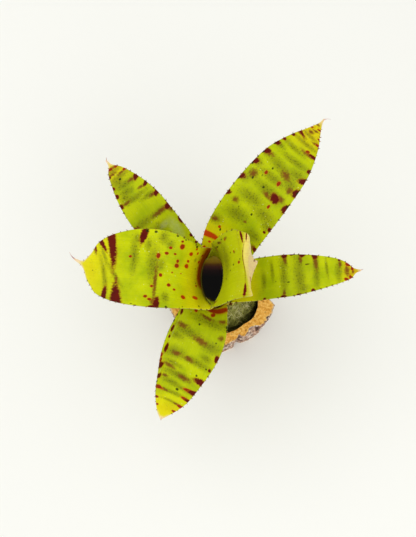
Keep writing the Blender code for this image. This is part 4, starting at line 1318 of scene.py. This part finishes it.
# %% Moss material
# Living sheet moss and sphagnum: thin grey-green threads, quite matt, with painted shade that
# darkens them towards the bottom
MOSS, tree, shader = new_material("grey-green moss", "#79793f")
place = add(tree, "TexCoord").outputs["Object"]
strand_shade = add(tree, "Attribute", {"attribute_name": "tone"}).outputs["Fac"]
tuft = add(tree, "TexNoise", Vector=place, Scale=cells(3.846), Detail=3.0)
tones = ((0.0, "#343614"), (0.25, "#8c8e3c"), (0.55, "#cccb70"), (1.0, "#f6f0c0"))
thread = add(tree, "ValToRGB", {"stops": tones}, Fac=strand_shade)
thread = lay_over(tree, thread, tuft, 0.35, "#b0ae50")
fuzz = add(tree, "TexNoise", Vector=place, Scale=cells(0.6667), Detail=3.0)
fuzz = add(tree, "Bump", Strength=0.6, Distance=0.4 * MM, Height=fuzz)
link(tree, shader, Base_Color=thread, Roughness=0.8, Normal=fuzz)

# Towards the wall the mound lies in the shade of the cork's rim
SHADE_FROM = 14 * MM
SHADE_TO = 20.5 * MM
bm = make_mound()
tone = bm.verts.layers.float.new("tone")
for vert in bm.verts:
    vert[tone] = 0.02 + 0.4 * float(smooth_step(SHADE_TO, SHADE_FROM, vert.co.xy.length))
finish_piece("moss_mound", bm, MOSS, ("moss_plug",))


# %% [markdown]
# The strands could be a particle system, but its hairs aren't a mesh that can be measured and
# exported. So each strand is a small tube. It starts on the mound and is extruded four times over
# its surface with a steady turn. The draws run in one fixed order, so the pile is always the same.

# %% Moss strands
STRANDS = 1700
STRAND_STEPS = 4
STRAND_LENGTH = 8.5 * MM
STRAND_RADIUS = 0.34 * MM
STRAND_ARCH = 1.6 * MM
STRAND_LAY = radians(60)
WALL_GAP = 2.0 * MM
STEM_GAP = 0.8 * MM
TUFT_SIZE = 5 * MM
# A strand starts this far under the mound's surface and runs this far above it
STRAND_SINK = 0.2 * MM
STRAND_LIFT = 0.25 * MM
STRAND_TAPER = 0.86
STRAND_POINT = 0.3


def make_strands():
    """All the strands, with painted shade where the wall of the cork shades them."""
    draw = random.Random(7)
    bm = bmesh.new()
    bm.verts.layers.float.new("tone")
    for _ in range(STRANDS):
        radius = (HOLE_RADIUS - WALL_GAP) * draw.uniform(0.16, 1) ** 0.6
        angle = draw.uniform(0, 2 * pi)
        here = Vector((radius * cos(angle), radius * sin(angle), 0))
        heading = draw.gauss(STRAND_LAY, 0.7)
        bend = draw.uniform(-1.4, 1.4)
        length = STRAND_LENGTH * draw.uniform(0.5, 1.2)
        tuft = 0.85 + 1.1 * noise.noise(here / TUFT_SIZE)
        shade = 1 - 0.7 * float(smooth_step(0.75, 0.95, radius / HOLE_RADIUS))
        light = min(1.0, draw.uniform(0.3, 1) * tuft * shade)
        if (here.xy - Vector((AXIS_X, AXIS_Y))).length > STEM_RADIUS + STEM_GAP:
            add_strand(bm, here, heading, bend, length, light)
    return bm


def add_strand(bm, here, heading, bend, length, light):
    """One thread: a three-sided ring drawn along the mound, arched a little and tapered."""
    part = bmesh.new()
    tone = part.verts.layers.float.new("tone")
    ring = bmesh.ops.create_circle(part, segments=3, radius=STRAND_RADIUS)["verts"]
    here.z = mound_height(here.x, here.y) - STRAND_SINK
    turn = Vector((cos(heading), sin(heading), 0.25)).to_track_quat("Z", "Y").to_matrix()
    for vert in ring:
        vert.co = here + turn @ vert.co
        vert[tone] = 0.5 * light
    edges = part.edges[:]
    bmesh.ops.contextual_create(part, geom=edges)
    for step in range(1, STRAND_STEPS + 1):
        along = step / STRAND_STEPS
        heading += bend / STRAND_STEPS
        there = here + Vector((cos(heading), sin(heading), 0)) * length / STRAND_STEPS
        if there.xy.length > HOLE_RADIUS - 0.7 * WALL_GAP:
            there = here.copy()
        there.z = mound_height(there.x, there.y) + STRAND_ARCH * sin(pi * along) + STRAND_LIFT
        ring, edges = draw_out(part, edges)
        taper = STRAND_TAPER if step < STRAND_STEPS else STRAND_POINT
        for vert in ring:
            vert.co = there + (vert.co - here) * taper
            vert[tone] = light
        here = there
    bmesh.ops.contextual_create(part, geom=edges)
    pour(bm, part)


finish_piece("moss_strands", make_strands(), MOSS, ())


# %% [markdown]
# ## Water in the cup
# Rain collects in a neoregelia's cup. Seen from above it is a dark mirror: little light comes back
# out of the deep cup, and only the skin of the water catches the studio. At the leaf wall the
# water climbs in a thin meniscus, so the surface is drawn up along its rim, and the meniscus's
# bright edge is a painted highlight. The water is a round prism that is moved onto the inside of
# the vase, so it ends where the leaves begin.

# %% Water mesh
WATER_LEVEL = 101.5
WATER_FOOT = 58
WATER_GAP = 0.6
WATER_REACH = 1.2
WATER_TURNS = 96
WATER_ROWS = 11
MENISCUS = 0.7 * MM
# Between these two turns from the right, the heart leaf's sheath ends, in degrees
HEART_ENDS = (112, 128)
# Steps in from the rim, close together where the water climbs
SURFACE_RINGS = (0.03, 0.05, 0.08, 0.12, 0.2, 0.25)


def unit_prism():
    """A round prism of radius 1 and height 1 with rows up its side and rings on its top."""
    bm = bmesh.new()
    bmesh.ops.create_cone(bm, cap_ends=True, segments=WATER_TURNS, radius1=1, radius2=1, depth=1)
    uprights = [edge for edge in bm.edges if abs(edge.verts[0].co.z - edge.verts[1].co.z) > 0.5]
    bmesh.ops.subdivide_edges(bm, edges=uprights, cuts=WATER_ROWS, use_grid_fill=True)
    top = max(bm.faces, key=lambda face: face.calc_center_median().z)
    for width in SURFACE_RINGS:
        bmesh.ops.inset_region(bm, faces=[top], thickness=width, depth=0)
    return bm


def make_water():
    """The prism moved onto the inside of the vase, with its surface drawn up along the rim."""
    start = np.interp(WATER_FOOT, VASE_LINE[:, 1], VASE_ALONG)
    end = np.interp(WATER_LEVEL, VASE_LINE[:, 1], VASE_ALONG)
    bm = unit_prism()
    film = bm.verts.layers.float.new("film")
    for vert in bm.verts:
        level = vert.co.z + 0.5
        spread = min(vert.co.xy.length, 1.0)
        angle = atan2(vert.co.y, vert.co.x)
        t = start + (end - start) * level
        # The heart leaf's sheath stops short of the left side, so there the water goes a leaf further
        behind = float(smooth_step(*HEART_ENDS, abs(degrees(angle))))
        past_heart = behind * float(smooth_step(0.85, 1, level))
        layer = (past_heart * WATER_REACH - WATER_GAP) / LAYER_PITCH
        edge = sheath_point(np.array(t), np.array(angle), layer) * MM
        on_top = level > 0.99
        rise = MENISCUS * float(smooth_step(0.86, 1, spread)) ** 2 if on_top else 0
        height = WATER_LEVEL * MM if on_top else edge[2]
        vert.co = Vector((edge[0] * spread + AXIS_X, edge[1] * spread + AXIS_Y, height + rise))
        # Painted highlight of the meniscus: strongest on the left, faint on the right
        vert[film] = (0.55 - 0.45 * cos(angle)) * float(smooth_step(0.9, 1, spread)) if on_top else 0.0
    return bm


print("the water is", round(WATER_LEVEL - WATER_FOOT, 1), "mm deep")


# %% [markdown]
# Clear water would need light to find its way down the cup and back. Its colour is painted over its
# breadth instead: almost black at the front, then wine-dark and olive towards the back, where the
# far wall shows through the shallow edge.

# %% Water material
# Standing rain water, stained brown by the leaves: IOR 1.33, mirror smooth, almost black in depth
WATER, tree, shader = new_material("stained rain water", "#15120c")
place = add(tree, "TexCoord").outputs["Object"]
parts = add(tree, "SeparateXYZ", Vector=place)
far = add(tree, "MapRange", Value=parts.outputs["Y"], From_Min=1 * MM, From_Max=11.2 * MM)
depths = ((0.0, "#040404"), (0.3, "#221010"), (0.5, "#4c2620"), (0.62, "#6a4408"), (0.74, "#a08010"),
          (1.0, "#b49a20"))
depth = add(tree, "ValToRGB", {"stops": depths}, Fac=far)
murk = add(tree, "TexNoise", Vector=place, Scale=cells(4.545), Detail=3.0)
depth = lay_over(tree, depth, murk, 0.25, "#0b0908")
film = add(tree, "Attribute", {"attribute_name": "film"}).outputs["Fac"]
# Painted highlight: the meniscus's bright rim laid over the water's colour
depth = lay_over(tree, depth, film, 0.6, "#a09238")
link(tree, shader, Base_Color=depth, Roughness=0.02, IOR=1.33, Specular_IOR_Level=0.12)
finish_piece("rain_water", make_water(), WATER, ("cup_water",), sharp=60)


# %% [markdown]
# ## Stem
# The short stem is nearly hidden. Its construction solid has the right shape already, so it only
# gets the fibrous, ring-scarred surface of old caudex.

# %% Stem material
# Woody bromeliad caudex: dull brown upright fibres with pale leaf scars
SCAR_STEP = 2.992
# The bands of a wave pattern lie pi / 10 over its scale apart
SCAR_SCALE = pi / 10 * cells(SCAR_STEP)
CAUDEX, tree, shader = new_material("fibrous caudex", "#6d5a2c")
place = add(tree, "TexCoord").outputs["Object"]
upright = add(tree, "Mapping", Vector=place, Scale=(1.0, 1.0, 0.15))
fibre = add(tree, "TexNoise", Vector=upright, Scale=cells(1.111), Detail=4.0)
rings = {"wave_type": "BANDS", "bands_direction": "Z"}
scar = add(tree, "TexWave", rings, Vector=place, Scale=SCAR_SCALE, Distortion=2.0).outputs["Fac"]
bark = add(tree, "ValToRGB", {"stops": ((0.3, "#3d2c14"), (0.65, "#8b7740"))}, Fac=fibre)
bark = lay_over(tree, bark, scar, 0.4, "#b4a56a")
ridges = add(tree, "Bump", Strength=0.5, Distance=0.3 * MM, Height=fibre)
link(tree, shader, Base_Color=bark, Roughness=0.7, Normal=ridges)
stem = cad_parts["stem"]
stem.data.materials.clear()
stem.data.materials.append(CAUDEX)
print("the stem wears", [material.name for material in stem.data.materials])
